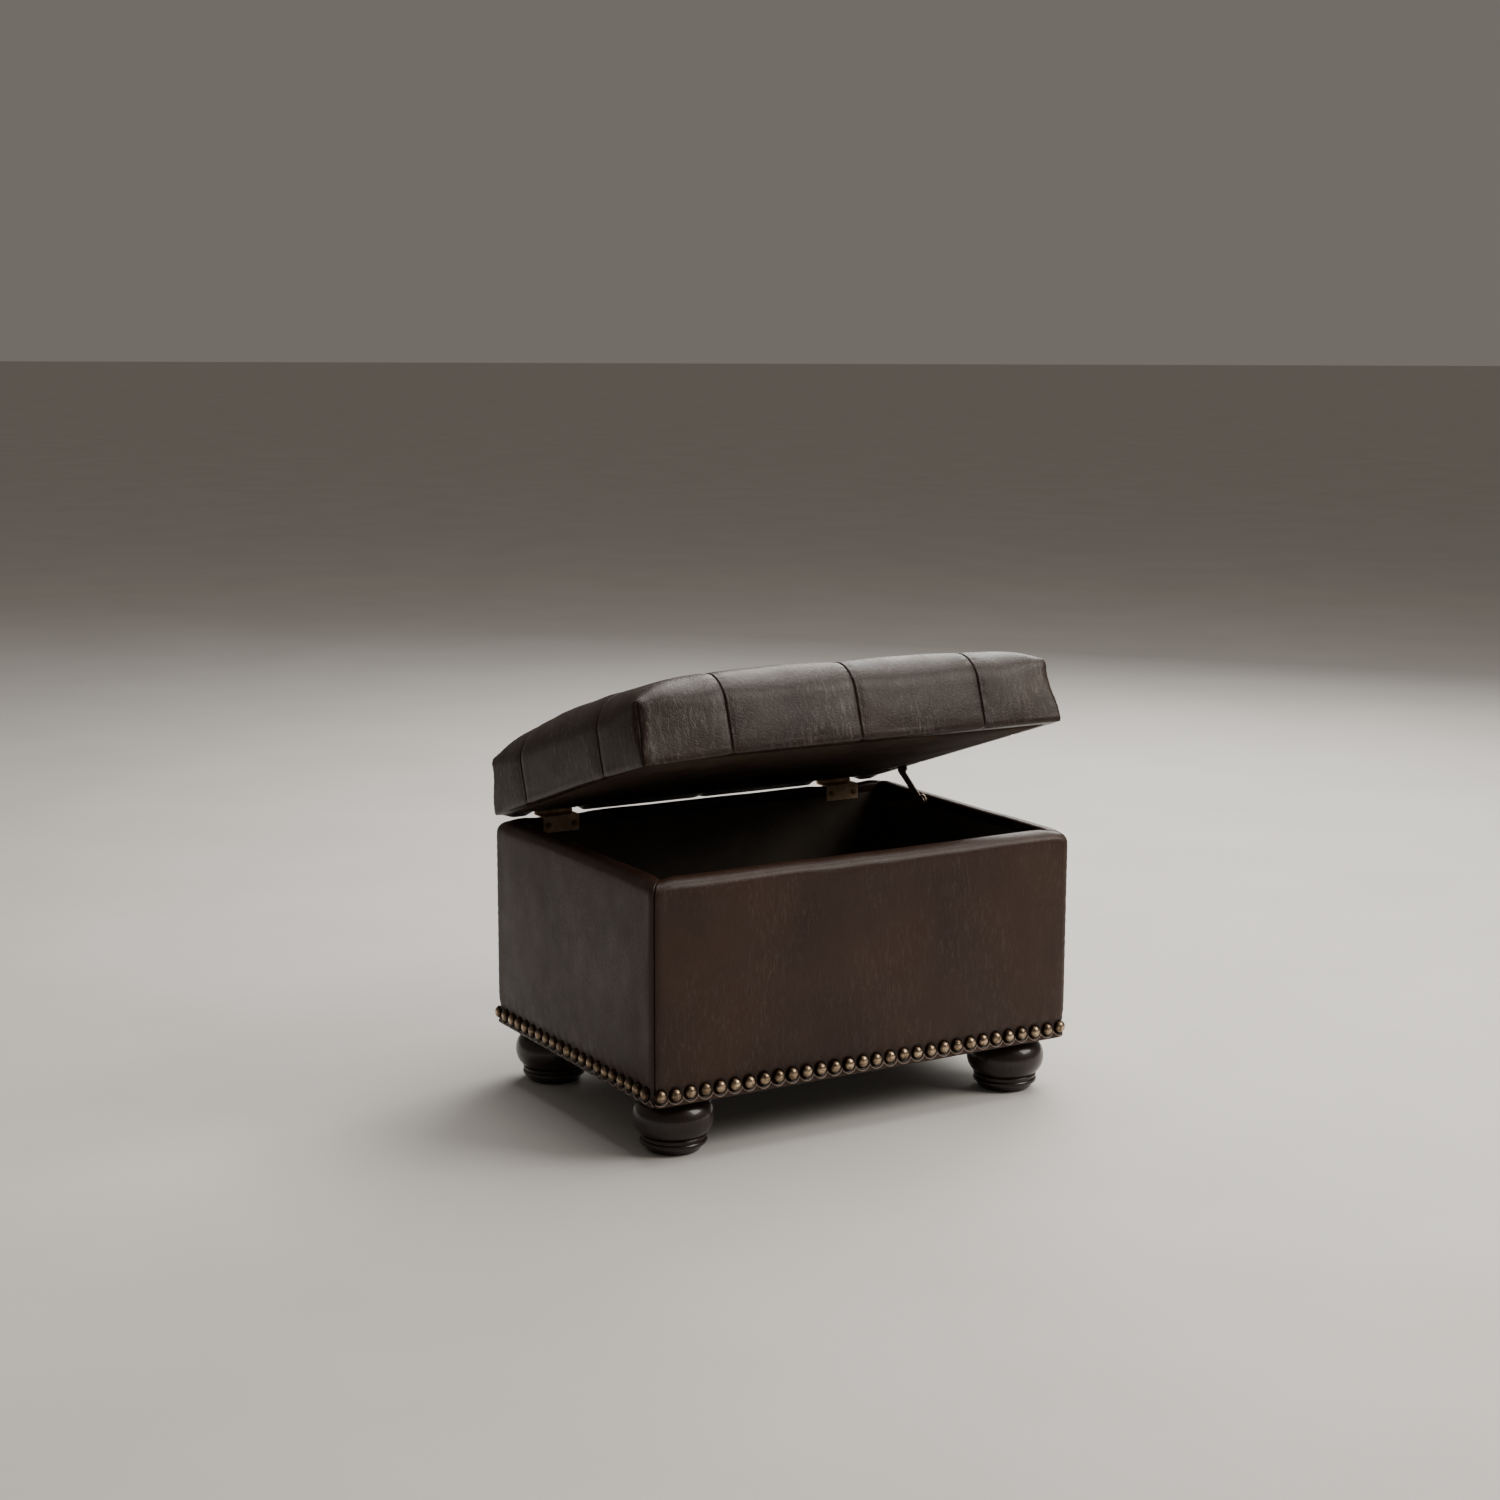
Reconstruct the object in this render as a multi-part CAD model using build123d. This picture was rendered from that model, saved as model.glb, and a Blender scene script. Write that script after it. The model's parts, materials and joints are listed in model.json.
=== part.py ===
from build123d import *
import math
import os

# A padded storage bench on four bun feet, stored with its hinged lid ajar.
# Lengths are in millimetres. X runs along the bench, Y from the front to the back, where the
# hinges are, and Z up from the floor. The origin is on the floor under the middle of the whole
# bench's box with the lid ajar. Everything is drawn about the middle of the body, with the lid
# shut, and put in its stored place at the end.

# Body
LENGTH = 620
DEPTH = 442
RIM_Z = 350
HEM_Z = 73
WALL = 25
LEATHER = 1.5
SIDE_FOAM = 7
RIM_FOAM = 6
RIM_RADIUS = 18
INNER_RIM_RADIUS = 5
HEM_RADIUS = 3
RIM_WRAP = 13.5
BOARD = WALL - 2 * LEATHER - SIDE_FOAM
MITRE = 60

# Bottom
BATTEN = 30
FOOT_BLOCK = 80
FLOOR = 12
LINING = 1.5

# Upholstery nails
NAIL_RADIUS = 8
NAIL_HEIGHT = 3.8
NAIL_PITCH = 20.65
NAIL_Z = 87.5
NAILS = {"front": 30, "back": 29, "left": 21, "right": 21}
SHORT_ROW_SHIFT = 7
SHANK_RADIUS = 0.9
SHANK = 14
SHANK_POINT = 1

# Feet
FOOT_X = 252
FOOT_Y = 165
GLIDE = 2
GLIDE_RADIUS = 30
BASE_RADIUS = 34
BEADS_LOW = (38.5, 8.5)
THICK_BEAD = (42, 12)
GROOVE_LOW = (39.5, 15.5)
GROOVE_HIGH = (39.5, 17.3)
THIN_BEAD = (41.5, 19.1)
BULB_LOW = (39.8, 20.9)
BULB = (51, 43)
BULB_HIGH = (40, 66)
NECK_RADIUS = 38
NECK_Z = 68
BOLT_RADIUS = 4
BOLT_LOW_Z = 39
BOLT_HIGH_Z = 101
NUT_RADIUS = 5
NUT_LOW_Z = 90
FLANGE_RADIUS = 11
FIT = 0.05

# Hinges
OPEN_DEG = 18.2
HINGE_Y = DEPTH / 2 - 2
HINGE_Z = RIM_Z + 3
HINGE_X = 223
LEAF_WIDTH = 53
LEAF = 1.5
LEAF_DROP = 22
LID_LEAF_DEPTH = 35
KNUCKLES = 5
KNUCKLE_RADIUS = 3
KNUCKLE_GAP = 0.5
PIN_RADIUS = 1.45
PIN_HEAD = 1
PIN_HEAD_PROUD = 0.8
KNUCKLE_CLEARANCE = 0.4
SCREW_SPREAD = 19
BODY_SCREW_DROP = 10
LID_SCREW_SHARE = 0.7

# Screws of the hinges and of the lid stay
SCREW_RADIUS = 1.9
SCREW_HEAD_RADIUS = 3.9
SCREW_HEAD = 1.8
SCREW_LENGTH = 13

# Lid
LID_Z = HINGE_Z + 1.5
LID_BOARD = 15
LID_SIDE_FOAM = 9
LID_BOARD_CORNER = 16
LID_HEIGHT = 105.5
CROWN_RADIUS = 2416
LID_CORNER = 30
LID_TOP_RADIUS = 22
LID_HEM_RADIUS = 10
LID_WRAP = 19
LINER = 3.5

# Lid stay: a four-bar fold whose pivots form a parallelogram with the hinge axis
STRAP = 1.8
STRAP_WIDTH = 11
STRAP_GAP = 0.4
LID_PIVOT = Vector(-93, -6.5)
SIDE_PIVOT = Vector(-49.6, -35.1)
RIVET_RADIUS = 2
RIVET_HEAD_RADIUS = 3.8
RIVET_HEAD = 1.2
RUNNING_FIT = 0.08
ELBOW_CLEARANCE = 0.3
ELBOW_RADIUS = 10.5
LOWER_END_SPARE = 1
UPPER_END_SPARE = 0.5
UPPER_ELBOW_SPARE = 2.5
EAR_SPARE = 1.5
SIDE_BRACKET_WIDTH = 20
SIDE_BRACKET_HEIGHT = 48
SIDE_BRACKET_SCREW_DROPS = (15, 28)
LID_BRACKET_WIDTH = 21
LID_BRACKET_DEPTH = 36
LID_BRACKET_SCREW_INSET = 4

# The lid, ajar, overhangs the back by more than the nails stand out at the front
REST_SHIFT = -10.6


def block(length, depth, low, high, x=0, y=0):
    """An upright box on its plan centre, between two heights."""
    return Pos(x, y, (low + high) / 2) * Box(length, depth, high - low)


def round_bar(radius, start, end):
    """A straight round bar between two points."""
    run = Vector(*end) - Vector(*start)
    return extrude(Plane(origin=start, z_dir=run) * Circle(radius), amount=run.length)


def rounded(outline, corner, radius):
    """An outline with its corner nearest to a point rounded."""
    return fillet(outline.vertices().sort_by_distance(corner)[0], radius)


def corner_places():
    """The axes of the four feet, in plan."""
    return [(x, y) for y in (-FOOT_Y, FOOT_Y) for x in (-FOOT_X, FOOT_X)]


# ---- walls: each side is a board, its foam and its leather, mitred at the corners


def wall_section(inset):
    """A wall's cross-section: across from its outer face, and up. An inset takes off the leather."""
    high, low, inner = RIM_Z - inset, HEM_Z + inset, WALL - inset
    outline = make_face(Polyline((inset, low), (inner, low), (inner, high), (inset, high), close=True))
    outline = rounded(outline, (inset, high), RIM_RADIUS - inset)
    outline = rounded(outline, (inner, high), INNER_RIM_RADIUS - inset)
    return rounded(outline, (inset, low), HEM_RADIUS - inset)


def section_box(near, far, low, high):
    """A plain rectangle in a wall's cross-section."""
    return Pos((near + far) / 2, (low + high) / 2) * Rectangle(far - near, high - low)


def leather_section():
    """Leather over the face, the rim, a strip down the inside and a strip under the hem."""
    open_side = section_box(WALL - LEATHER, WALL + 1, HEM_Z - 1, RIM_Z - RIM_WRAP)
    return wall_section(0) - wall_section(LEATHER) - open_side


def foam_section():
    """Foam between the leather and the board's face and top edge."""
    near = LEATHER + SIDE_FOAM
    board = section_box(near, WALL, HEM_Z, RIM_Z - LEATHER - RIM_FOAM)
    return wall_section(LEATHER) - board


def panel(section, length):
    """A wall section run along X and mitred at both ends, its outer face on the XZ plane."""
    bar = extrude(Plane.YZ * section, amount=length / 2, both=True)
    half = length / 2
    corners = (-half, 0), (half, 0), (half - MITRE, MITRE), (MITRE - half, MITRE)
    return bar & extrude(make_face(Polyline(*corners, close=True)), amount=RIM_Z + 1)


def on_side(side, shape):
    """A shape drawn on the XZ plane, facing -Y, put on one side of the body."""
    turn = {"front": 0, "right": 90, "back": 180, "left": 270}[side]
    out = DEPTH / 2 if turn % 180 == 0 else LENGTH / 2
    return Rot(0, 0, turn) * Pos(0, -out, 0) * shape


def side_length(side):
    return LENGTH if side in ("front", "back") else DEPTH


def wall_boards():
    """Front and back boards run full length, and the end boards stand between them."""
    outer = LEATHER + SIDE_FOAM
    low, high = HEM_Z + LEATHER, RIM_Z - LEATHER - RIM_FOAM
    boards = {}
    for side in ("front", "back", "left", "right"):
        ends = outer if side in ("front", "back") else WALL - LEATHER
        board = block(side_length(side) - 2 * ends, BOARD, low, high, y=outer + BOARD / 2)
        boards[f"{side}_board"] = on_side(side, board)
    return boards


# ---- bottom of the body


def inside(low, high, inset=0.0):
    """A block that fills the plan between the wall boards, less an inset."""
    margin = 2 * (WALL - LEATHER + inset)
    return block(LENGTH - margin, DEPTH - margin, low, high)


def foot_blocks():
    """Corner blocks, each bored for its T-nut and hanger bolt."""
    low = HEM_Z + LEATHER
    high = low + BATTEN
    reach_x = LENGTH / 2 - WALL + LEATHER - FOOT_BLOCK / 2
    reach_y = DEPTH / 2 - WALL + LEATHER - FOOT_BLOCK / 2
    blocks = []
    for x, y in corner_places():
        middle = math.copysign(reach_x, x), math.copysign(reach_y, y)
        solid = block(FOOT_BLOCK, FOOT_BLOCK, low, high, *middle)
        bore = round_bar(NUT_RADIUS + FIT, (x, y, low), (x, y, high))
        recess = round_bar(FLANGE_RADIUS + FIT, (x, y, high - LEAF), (x, y, high))
        blocks.append((solid - bore - recess).solid())
    return Compound(blocks)


def floor_battens():
    """Battens along the walls between the corner blocks, which carry the floor board."""
    low = HEM_Z + LEATHER
    room_x = LENGTH - 2 * (WALL - LEATHER)
    room_y = DEPTH - 2 * (WALL - LEATHER)
    long_y = (room_y - BATTEN) / 2
    short_x = (room_x - BATTEN) / 2
    bars = [block(room_x - 2 * FOOT_BLOCK, BATTEN, low, low + BATTEN, y=y) for y in (-long_y, long_y)]
    bars += [block(BATTEN, room_y - 2 * FOOT_BLOCK, low, low + BATTEN, x=x) for x in (-short_x, short_x)]
    return Compound([bar.solid() for bar in bars])


def dust_cover():
    """The cloth under the body, between the leather's turned-in strips, pierced for the bolts."""
    sheet = block(LENGTH - 2 * (WALL - LEATHER), DEPTH - 2 * (WALL - LEATHER), HEM_Z, HEM_Z + LEATHER)
    for x, y in corner_places():
        sheet -= round_bar(NUT_RADIUS + FIT, (x, y, HEM_Z), (x, y, HEM_Z + LEATHER))
    return sheet


def lining():
    """The compartment's cloth lining, an open box on the boards and the floor board."""
    low = HEM_Z + LEATHER + BATTEN + FLOOR
    return inside(low, RIM_Z - RIM_WRAP) - inside(low + LINING, RIM_Z, LINING)


# ---- feet


def foot():
    """A turned bun foot: a tapered base, two beads with a groove between them, and a bulb."""
    lower = Polyline((0, GLIDE), (BASE_RADIUS, GLIDE), BEADS_LOW)
    beads = ThreePointArc(BEADS_LOW, THICK_BEAD, GROOVE_LOW)
    beads += Line(GROOVE_LOW, GROOVE_HIGH) + ThreePointArc(GROOVE_HIGH, THIN_BEAD, BULB_LOW)
    bulb = ThreePointArc(BULB_LOW, BULB, BULB_HIGH)
    top = Polyline(BULB_HIGH, (NECK_RADIUS, NECK_Z), (NECK_RADIUS, HEM_Z), (0, HEM_Z), (0, GLIDE))
    solid = revolve(Plane.XZ * make_face(lower + beads + bulb + top), Axis.Z)
    return solid - round_bar(BOLT_RADIUS + FIT, (0, 0, BOLT_LOW_Z), (0, 0, HEM_Z))


def at_feet(shape):
    """One copy of a shape on each foot's axis, as one group."""
    return Compound([(Pos(x, y, 0) * shape).solid() for x, y in corner_places()])


def t_nut():
    high = HEM_Z + LEATHER + BATTEN
    barrel = round_bar(NUT_RADIUS, (0, 0, NUT_LOW_Z), (0, 0, high))
    flange = round_bar(FLANGE_RADIUS, (0, 0, high - LEAF), (0, 0, high))
    return barrel + flange - round_bar(BOLT_RADIUS + FIT, (0, 0, NUT_LOW_Z), (0, 0, high))


# ---- upholstery nails


def nail():
    """A domed nail that points along +Y, its rim on the XZ plane."""
    ball = (NAIL_RADIUS**2 + NAIL_HEIGHT**2) / (2 * NAIL_HEIGHT)
    rise = NAIL_RADIUS / 2
    edge = math.sqrt(ball**2 - rise**2) - (ball - NAIL_HEIGHT)
    dome = ThreePointArc((0, NAIL_HEIGHT), (rise, edge), (NAIL_RADIUS, 0))
    point = (0, -SHANK - SHANK_POINT)
    shank = Polyline((NAIL_RADIUS, 0), (SHANK_RADIUS, 0), (SHANK_RADIUS, -SHANK), point, (0, NAIL_HEIGHT))
    return Rot(0, 0, 180) * revolve(make_face(dome + shank), Axis.Y)


def nail_row(side):
    """The nails along the bottom edge of one side."""
    count = NAILS[side]
    shift = {"left": -SHORT_ROW_SHIFT, "right": SHORT_ROW_SHIFT}.get(side, 0)
    one = nail()
    places = [shift + (i - (count - 1) / 2) * NAIL_PITCH for i in range(count)]
    return Compound([on_side(side, Pos(x, 0, NAIL_Z) * one).solid() for x in places])


# ---- hinges, drawn at the lid-shut pose


def knuckle_spans(x, mine):
    """The ends in X of a leaf's knuckles: the body leaf has the odd ones and the lid leaf the others."""
    width = (LEAF_WIDTH - (KNUCKLES - 1) * KNUCKLE_GAP) / KNUCKLES
    starts = [x - LEAF_WIDTH / 2 + i * (width + KNUCKLE_GAP) for i in range(KNUCKLES)]
    return [(start, start + width) for start in starts[mine::2]]


def barrel(x, mine, radius, spare=0.0):
    """The knuckles of one leaf as round bars on the hinge axis."""
    bars = Part()
    for start, end in knuckle_spans(x, mine):
        bars += round_bar(radius, (start - spare, HINGE_Y, HINGE_Z), (end + spare, HINGE_Y, HINGE_Z))
    return bars


def leaf(plate, x, mine):
    """A plate with its own knuckles, cut clear of the other leaf's, and bored for the pin."""
    solid = plate - barrel(x, 1 - mine, KNUCKLE_RADIUS + KNUCKLE_CLEARANCE, KNUCKLE_GAP)
    solid += barrel(x, mine, KNUCKLE_RADIUS)
    end = LEAF_WIDTH / 2
    return solid - round_bar(PIN_RADIUS + FIT, (x - end, HINGE_Y, HINGE_Z), (x + end, HINGE_Y, HINGE_Z))


def body_leaf(x):
    """The leaf that passes over the rim and turns down inside the back wall."""
    inner = DEPTH / 2 - WALL
    across = Pos(x, (HINGE_Y + inner) / 2, RIM_Z + LEAF / 2) * Box(LEAF_WIDTH, HINGE_Y - inner, LEAF)
    drop = block(LEAF_WIDTH, LEAF, RIM_Z + LEAF - LEAF_DROP, RIM_Z + LEAF, x, inner - LEAF / 2)
    solid = leaf(across + drop, x, 0)
    for place in body_screw_places(x):
        solid -= screw_hole(place, (0, 1, 0))
    return solid


def lid_leaf(x):
    """The flat leaf under the lid."""
    middle = HINGE_Y - LID_LEAF_DEPTH / 2
    plate = block(LEAF_WIDTH, LID_LEAF_DEPTH, LID_Z, LID_Z + LEAF, x, middle)
    solid = leaf(plate, x, 1)
    for place in lid_screw_places(x):
        solid -= screw_hole(place, (0, 0, 1))
    return solid


def hinge_pin(x):
    """A pin with a small head just outside each end of the barrel."""
    end = LEAF_WIDTH / 2 + FIT
    pin = round_bar(PIN_RADIUS, (x - end, HINGE_Y, HINGE_Z), (x + end, HINGE_Y, HINGE_Z))
    for side in (-1, 1):
        near, far = x + side * end, x + side * (end + PIN_HEAD)
        pin += round_bar(PIN_RADIUS + PIN_HEAD_PROUD, (near, HINGE_Y, HINGE_Z), (far, HINGE_Y, HINGE_Z))
    return pin


# ---- screws

def screw(place, into):
    """A pan-head screw whose head's underside is at a place, and whose shank runs the way given."""
    start, way = Vector(*place), Vector(*into)
    head = round_bar(SCREW_HEAD_RADIUS, start - way * SCREW_HEAD, start)
    rim = head.edges().filter_by(GeomType.CIRCLE).sort_by_distance(start - way * SCREW_HEAD)[0]
    return (fillet(rim, SCREW_HEAD / 2) + round_bar(SCREW_RADIUS, start, start + way * SCREW_LENGTH)).solid()


def screw_hole(place, into):
    """The hole in a plate for a screw at a place."""
    start = Vector(*place)
    return round_bar(SCREW_RADIUS + FIT, start, start + Vector(*into) * LEAF)


def body_screw_places(x):
    return [(x + side * SCREW_SPREAD, DEPTH / 2 - WALL - LEAF, RIM_Z - BODY_SCREW_DROP) for side in (-1, 1)]


def lid_screw_places(x):
    return [(x + side * SCREW_SPREAD, HINGE_Y - LID_LEAF_DEPTH * LID_SCREW_SHARE, LID_Z) for side in (-1, 1)]


# ---- lid


def lid_form(inset):
    """The cushion's outline, crowned on top and round at its edges, less an inset."""
    low = LID_Z + inset
    form = block(LENGTH - 2 * inset, DEPTH - 2 * inset, low, LID_Z + LID_HEIGHT)
    form = fillet(form.edges().filter_by(Axis.Z), LID_CORNER - inset)
    crown = Pos(0, 0, LID_Z + LID_HEIGHT - CROWN_RADIUS) * Sphere(CROWN_RADIUS - inset)
    form = form & crown
    form = fillet(form.faces().sort_by(Axis.Z)[-1].edges(), LID_TOP_RADIUS - inset)
    return fillet(form.faces().sort_by(Axis.Z)[0].edges(), LID_HEM_RADIUS - inset)


def leaf_pockets(low, high):
    """Room for the two lid leaves in the layers that they lie in."""
    width, depth = LEAF_WIDTH + 4 * FIT, LID_LEAF_DEPTH + 10
    middle = HINGE_Y - LID_LEAF_DEPTH - FIT + depth / 2
    return [block(width, depth, low, high, x, middle) for x in (-HINGE_X, HINGE_X)]


def lid_board_block(spare=0.0):
    margin = 2 * (LEATHER + LID_SIDE_FOAM - spare)
    low = LID_Z + LEATHER
    board = block(LENGTH - margin, DEPTH - margin, low - spare, low + LID_BOARD)
    return fillet(board.edges().filter_by(Axis.Z), LID_BOARD_CORNER + spare)


def lid_cover():
    """The leather over the cushion, turned in under the board, with room for the hinge leaves."""
    opening = block(LENGTH - 2 * LID_WRAP, DEPTH - 2 * LID_WRAP, LID_Z - 1, LID_Z + LEATHER)
    cover = lid_form(0) - lid_form(LEATHER) - opening
    for pocket in leaf_pockets(LID_Z - 1, LID_Z + LEAF):
        cover -= pocket
    return cover


def lid_liner():
    """The thin padded panel under the board, cut round the hinge leaves and the stay's bracket."""
    high = LID_Z + LEATHER
    liner = block(LENGTH - 2 * LID_WRAP, DEPTH - 2 * LID_WRAP, high - LINER, high)
    for pocket in leaf_pockets(high - LINER, high):
        liner -= pocket
    return liner - stay_flange(high - LINER, high, 4 * FIT)


# ---- lid stay, in the vertical plane beside the right end wall
# Its points are given across and up from the hinge axis.

WALL_X = LENGTH / 2 - WALL
BRACKET_X = WALL_X - STRAP
LOWER_X = BRACKET_X - STRAP_GAP - STRAP
UPPER_X = LOWER_X - STRAP_GAP - STRAP


def turned(point):
    """A point of the lid, moved from its place with the lid shut to its place with the lid ajar."""
    return point.rotate(Axis.Z, -OPEN_DEG)


def outline_plate(outline, x):
    """An outline drawn from the hinge axis, made into a steel plate from x outwards."""
    return extrude(Plane.YZ.offset(x) * (Pos(HINGE_Y, HINGE_Z) * outline), amount=STRAP)


def disc(point, radius):
    return Pos(point.X, point.Y) * Circle(radius)


def link(near, far, near_radius, far_radius):
    """A flat strap between two pivots, with round ends."""
    run, middle = far - near, (near + far) / 2
    slope = math.degrees(math.atan2(run.Y, run.X))
    body = Pos(middle.X, middle.Y) * Rot(0, 0, slope) * Rectangle(run.length, STRAP_WIDTH)
    return body + disc(near, near_radius) + disc(far, far_radius)


def rivet(point, low, high, heads):
    """A rivet along X through a pivot, with a head beyond each end that is asked for."""
    y, z = HINGE_Y + point.X, HINGE_Z + point.Y
    solid = round_bar(RIVET_RADIUS, (low, y, z), (high, y, z))
    for end, way in heads:
        solid += round_bar(RIVET_HEAD_RADIUS, (end, y, z), (end + way * RIVET_HEAD, y, z))
    return solid


def stay_lower_link():
    elbow = turned(LID_PIVOT) + SIDE_PIVOT
    outline = link(SIDE_PIVOT, elbow, STRAP_WIDTH / 2 + LOWER_END_SPARE, ELBOW_RADIUS)
    outline -= disc(SIDE_PIVOT, RIVET_RADIUS + RUNNING_FIT)
    return outline_plate(outline - disc(elbow, RIVET_RADIUS + FIT), LOWER_X)


def stay_upper_link():
    pivot = turned(LID_PIVOT)
    elbow = pivot + SIDE_PIVOT
    end_radius, elbow_radius = STRAP_WIDTH / 2 + UPPER_END_SPARE, STRAP_WIDTH / 2 + UPPER_ELBOW_SPARE
    outline = link(pivot, elbow, end_radius, elbow_radius)
    outline -= disc(pivot, RIVET_RADIUS + RUNNING_FIT)
    return outline_plate(outline - disc(elbow, RIVET_RADIUS + ELBOW_CLEARANCE), UPPER_X)


def side_bracket_points():
    """The pivot and, below it, the two screws of the bracket on the wall."""
    return SIDE_PIVOT, *(SIDE_PIVOT - Vector(0, drop) for drop in SIDE_BRACKET_SCREW_DROPS)


def stay_side_bracket():
    pivot, *screws = side_bracket_points()
    middle = pivot - Vector(0, (SIDE_BRACKET_HEIGHT - SIDE_BRACKET_WIDTH) / 2)
    corner = SIDE_BRACKET_WIDTH / 2 - 0.5
    outline = RectangleRounded(SIDE_BRACKET_WIDTH, SIDE_BRACKET_HEIGHT, corner)
    outline = Pos(middle.X, middle.Y) * outline - disc(pivot, RIVET_RADIUS + FIT)
    for point in screws:
        outline -= disc(point, SCREW_RADIUS + FIT)
    return outline_plate(outline, BRACKET_X)


def stay_side_screws():
    _, *screws = side_bracket_points()
    places = [(BRACKET_X, HINGE_Y + point.X, HINGE_Z + point.Y) for point in screws]
    return Compound([screw(place, (1, 0, 0)) for place in places])


def stay_lid_screw_places():
    x = LOWER_X + STRAP - LID_BRACKET_WIDTH / 2 - LID_BRACKET_SCREW_INSET
    middle = HINGE_Y + LID_PIVOT.X
    return [(x, middle + side * LID_BRACKET_DEPTH / 4, LID_Z) for side in (-1, 1)]


def stay_flange(low, high, spare=0.0):
    """The flange of the lid bracket, or the room for it."""
    middle_x = LOWER_X + STRAP - LID_BRACKET_WIDTH / 2
    width, depth = LID_BRACKET_WIDTH + spare, LID_BRACKET_DEPTH + spare
    return block(width, depth, low, high, middle_x, HINGE_Y + LID_PIVOT.X)


def stay_lid_bracket():
    """An angle bracket: a flange under the lid, and an ear down to the pivot."""
    drop = LID_Z + LEAF - HINGE_Z - LID_PIVOT.Y
    root = Pos(LID_PIVOT.X, LID_PIVOT.Y + drop / 2) * Rectangle(2 * STRAP_WIDTH, drop)
    outline = root + disc(LID_PIVOT, STRAP_WIDTH / 2 + EAR_SPARE)
    ear = outline_plate(outline - disc(LID_PIVOT, RIVET_RADIUS + FIT), LOWER_X)
    bracket = stay_flange(LID_Z, LID_Z + LEAF) + ear
    for place in stay_lid_screw_places():
        bracket -= screw_hole(place, (0, 0, 1))
    return bracket


# ---- the whole bench


def body_nodes():
    nodes = dict(wall_boards())
    for side in ("front", "back", "left", "right"):
        length = side_length(side)
        nodes[f"{side}_padding"] = on_side(side, panel(foam_section(), length))
        nodes[f"{side}_cover"] = on_side(side, panel(leather_section(), length))
        nodes[f"nails_{side}"] = nail_row(side)
    floor_z = HEM_Z + LEATHER + BATTEN
    nodes["floor_board"] = inside(floor_z, floor_z + FLOOR)
    nodes["foot_blocks"] = foot_blocks()
    nodes["floor_battens"] = floor_battens()
    nodes["dust_cover"] = dust_cover()
    nodes["compartment_lining"] = lining()
    names = [f"foot_{end}_{side}" for end in ("front", "back") for side in ("left", "right")]
    for name, (x, y) in zip(names, corner_places()):
        nodes[name] = Pos(x, y, 0) * foot()
    nodes["foot_bolts"] = at_feet(round_bar(BOLT_RADIUS, (0, 0, BOLT_LOW_Z), (0, 0, BOLT_HIGH_Z)))
    nodes["foot_t_nuts"] = at_feet(t_nut())
    nodes["foot_glides"] = at_feet(round_bar(GLIDE_RADIUS, (0, 0, 0), (0, 0, GLIDE)))
    for name, x in (("left", -HINGE_X), ("right", HINGE_X)):
        nodes[f"hinge_{name}_body_leaf"] = body_leaf(x)
        nodes[f"hinge_{name}_pin"] = hinge_pin(x)
    places = [place for x in (-HINGE_X, HINGE_X) for place in body_screw_places(x)]
    nodes["hinge_body_screws"] = Compound([screw(place, (0, 1, 0)) for place in places])
    nodes["stay_side_bracket"] = stay_side_bracket()
    nodes["stay_side_screws"] = stay_side_screws()
    nodes["stay_side_rivet"] = rivet(SIDE_PIVOT, LOWER_X - FIT, WALL_X, [(LOWER_X - FIT, -1)])
    return nodes


def lid_nodes():
    """The pieces of the lid, with the lid shut."""
    board = lid_board_block()
    nodes = {"lid_board": board, "lid_cover": lid_cover(), "lid_liner": lid_liner()}
    nodes["lid_foam"] = lid_form(LEATHER) - lid_board_block(FIT)
    for name, x in (("left", -HINGE_X), ("right", HINGE_X)):
        nodes[f"hinge_{name}_lid_leaf"] = lid_leaf(x)
    places = [place for x in (-HINGE_X, HINGE_X) for place in lid_screw_places(x)]
    nodes["hinge_lid_screws"] = Compound([screw(place, (0, 0, 1)) for place in places])
    nodes["stay_lid_bracket"] = stay_lid_bracket()
    nodes["stay_lid_screws"] = Compound([screw(place, (0, 0, 1)) for place in stay_lid_screw_places()])
    low, high = UPPER_X - FIT, LOWER_X + STRAP + FIT
    nodes["stay_lid_rivet"] = rivet(LID_PIVOT, low, high, [(low, -1), (high, 1)])
    return nodes


def link_nodes():
    """The stay's two links and the elbow rivet, at the stored pose."""
    low, high = UPPER_X - FIT, LOWER_X + STRAP + FIT
    elbow = turned(LID_PIVOT) + SIDE_PIVOT
    return {
        "stay_lower_link": stay_lower_link(),
        "stay_upper_link": stay_upper_link(),
        "stay_elbow_rivet": rivet(elbow, low, high, [(low, -1), (high, 1)]),
    }


def main():
    ajar = Pos(0, HINGE_Y, HINGE_Z) * Rot(-OPEN_DEG, 0, 0) * Pos(0, -HINGE_Y, -HINGE_Z)
    nodes = {**body_nodes(), **link_nodes()}
    nodes.update({name: ajar * shape for name, shape in lid_nodes().items()})
    os.makedirs("parts", exist_ok=True)
    low_y, high_y = [], []
    for name, shape in nodes.items():
        placed = Pos(0, REST_SHIFT, 0) * shape
        box = placed.bounding_box()
        low_y.append(box.min.Y)
        high_y.append(box.max.Y)
        export_step(placed, f"parts/{name}.step")
    print(len(nodes), "nodes, middle of the box in Y:", round((min(low_y) + max(high_y)) / 2, 2))


main()
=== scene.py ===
import json
import math

import bpy
import numpy as np
from mathutils import Matrix, Vector

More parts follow.
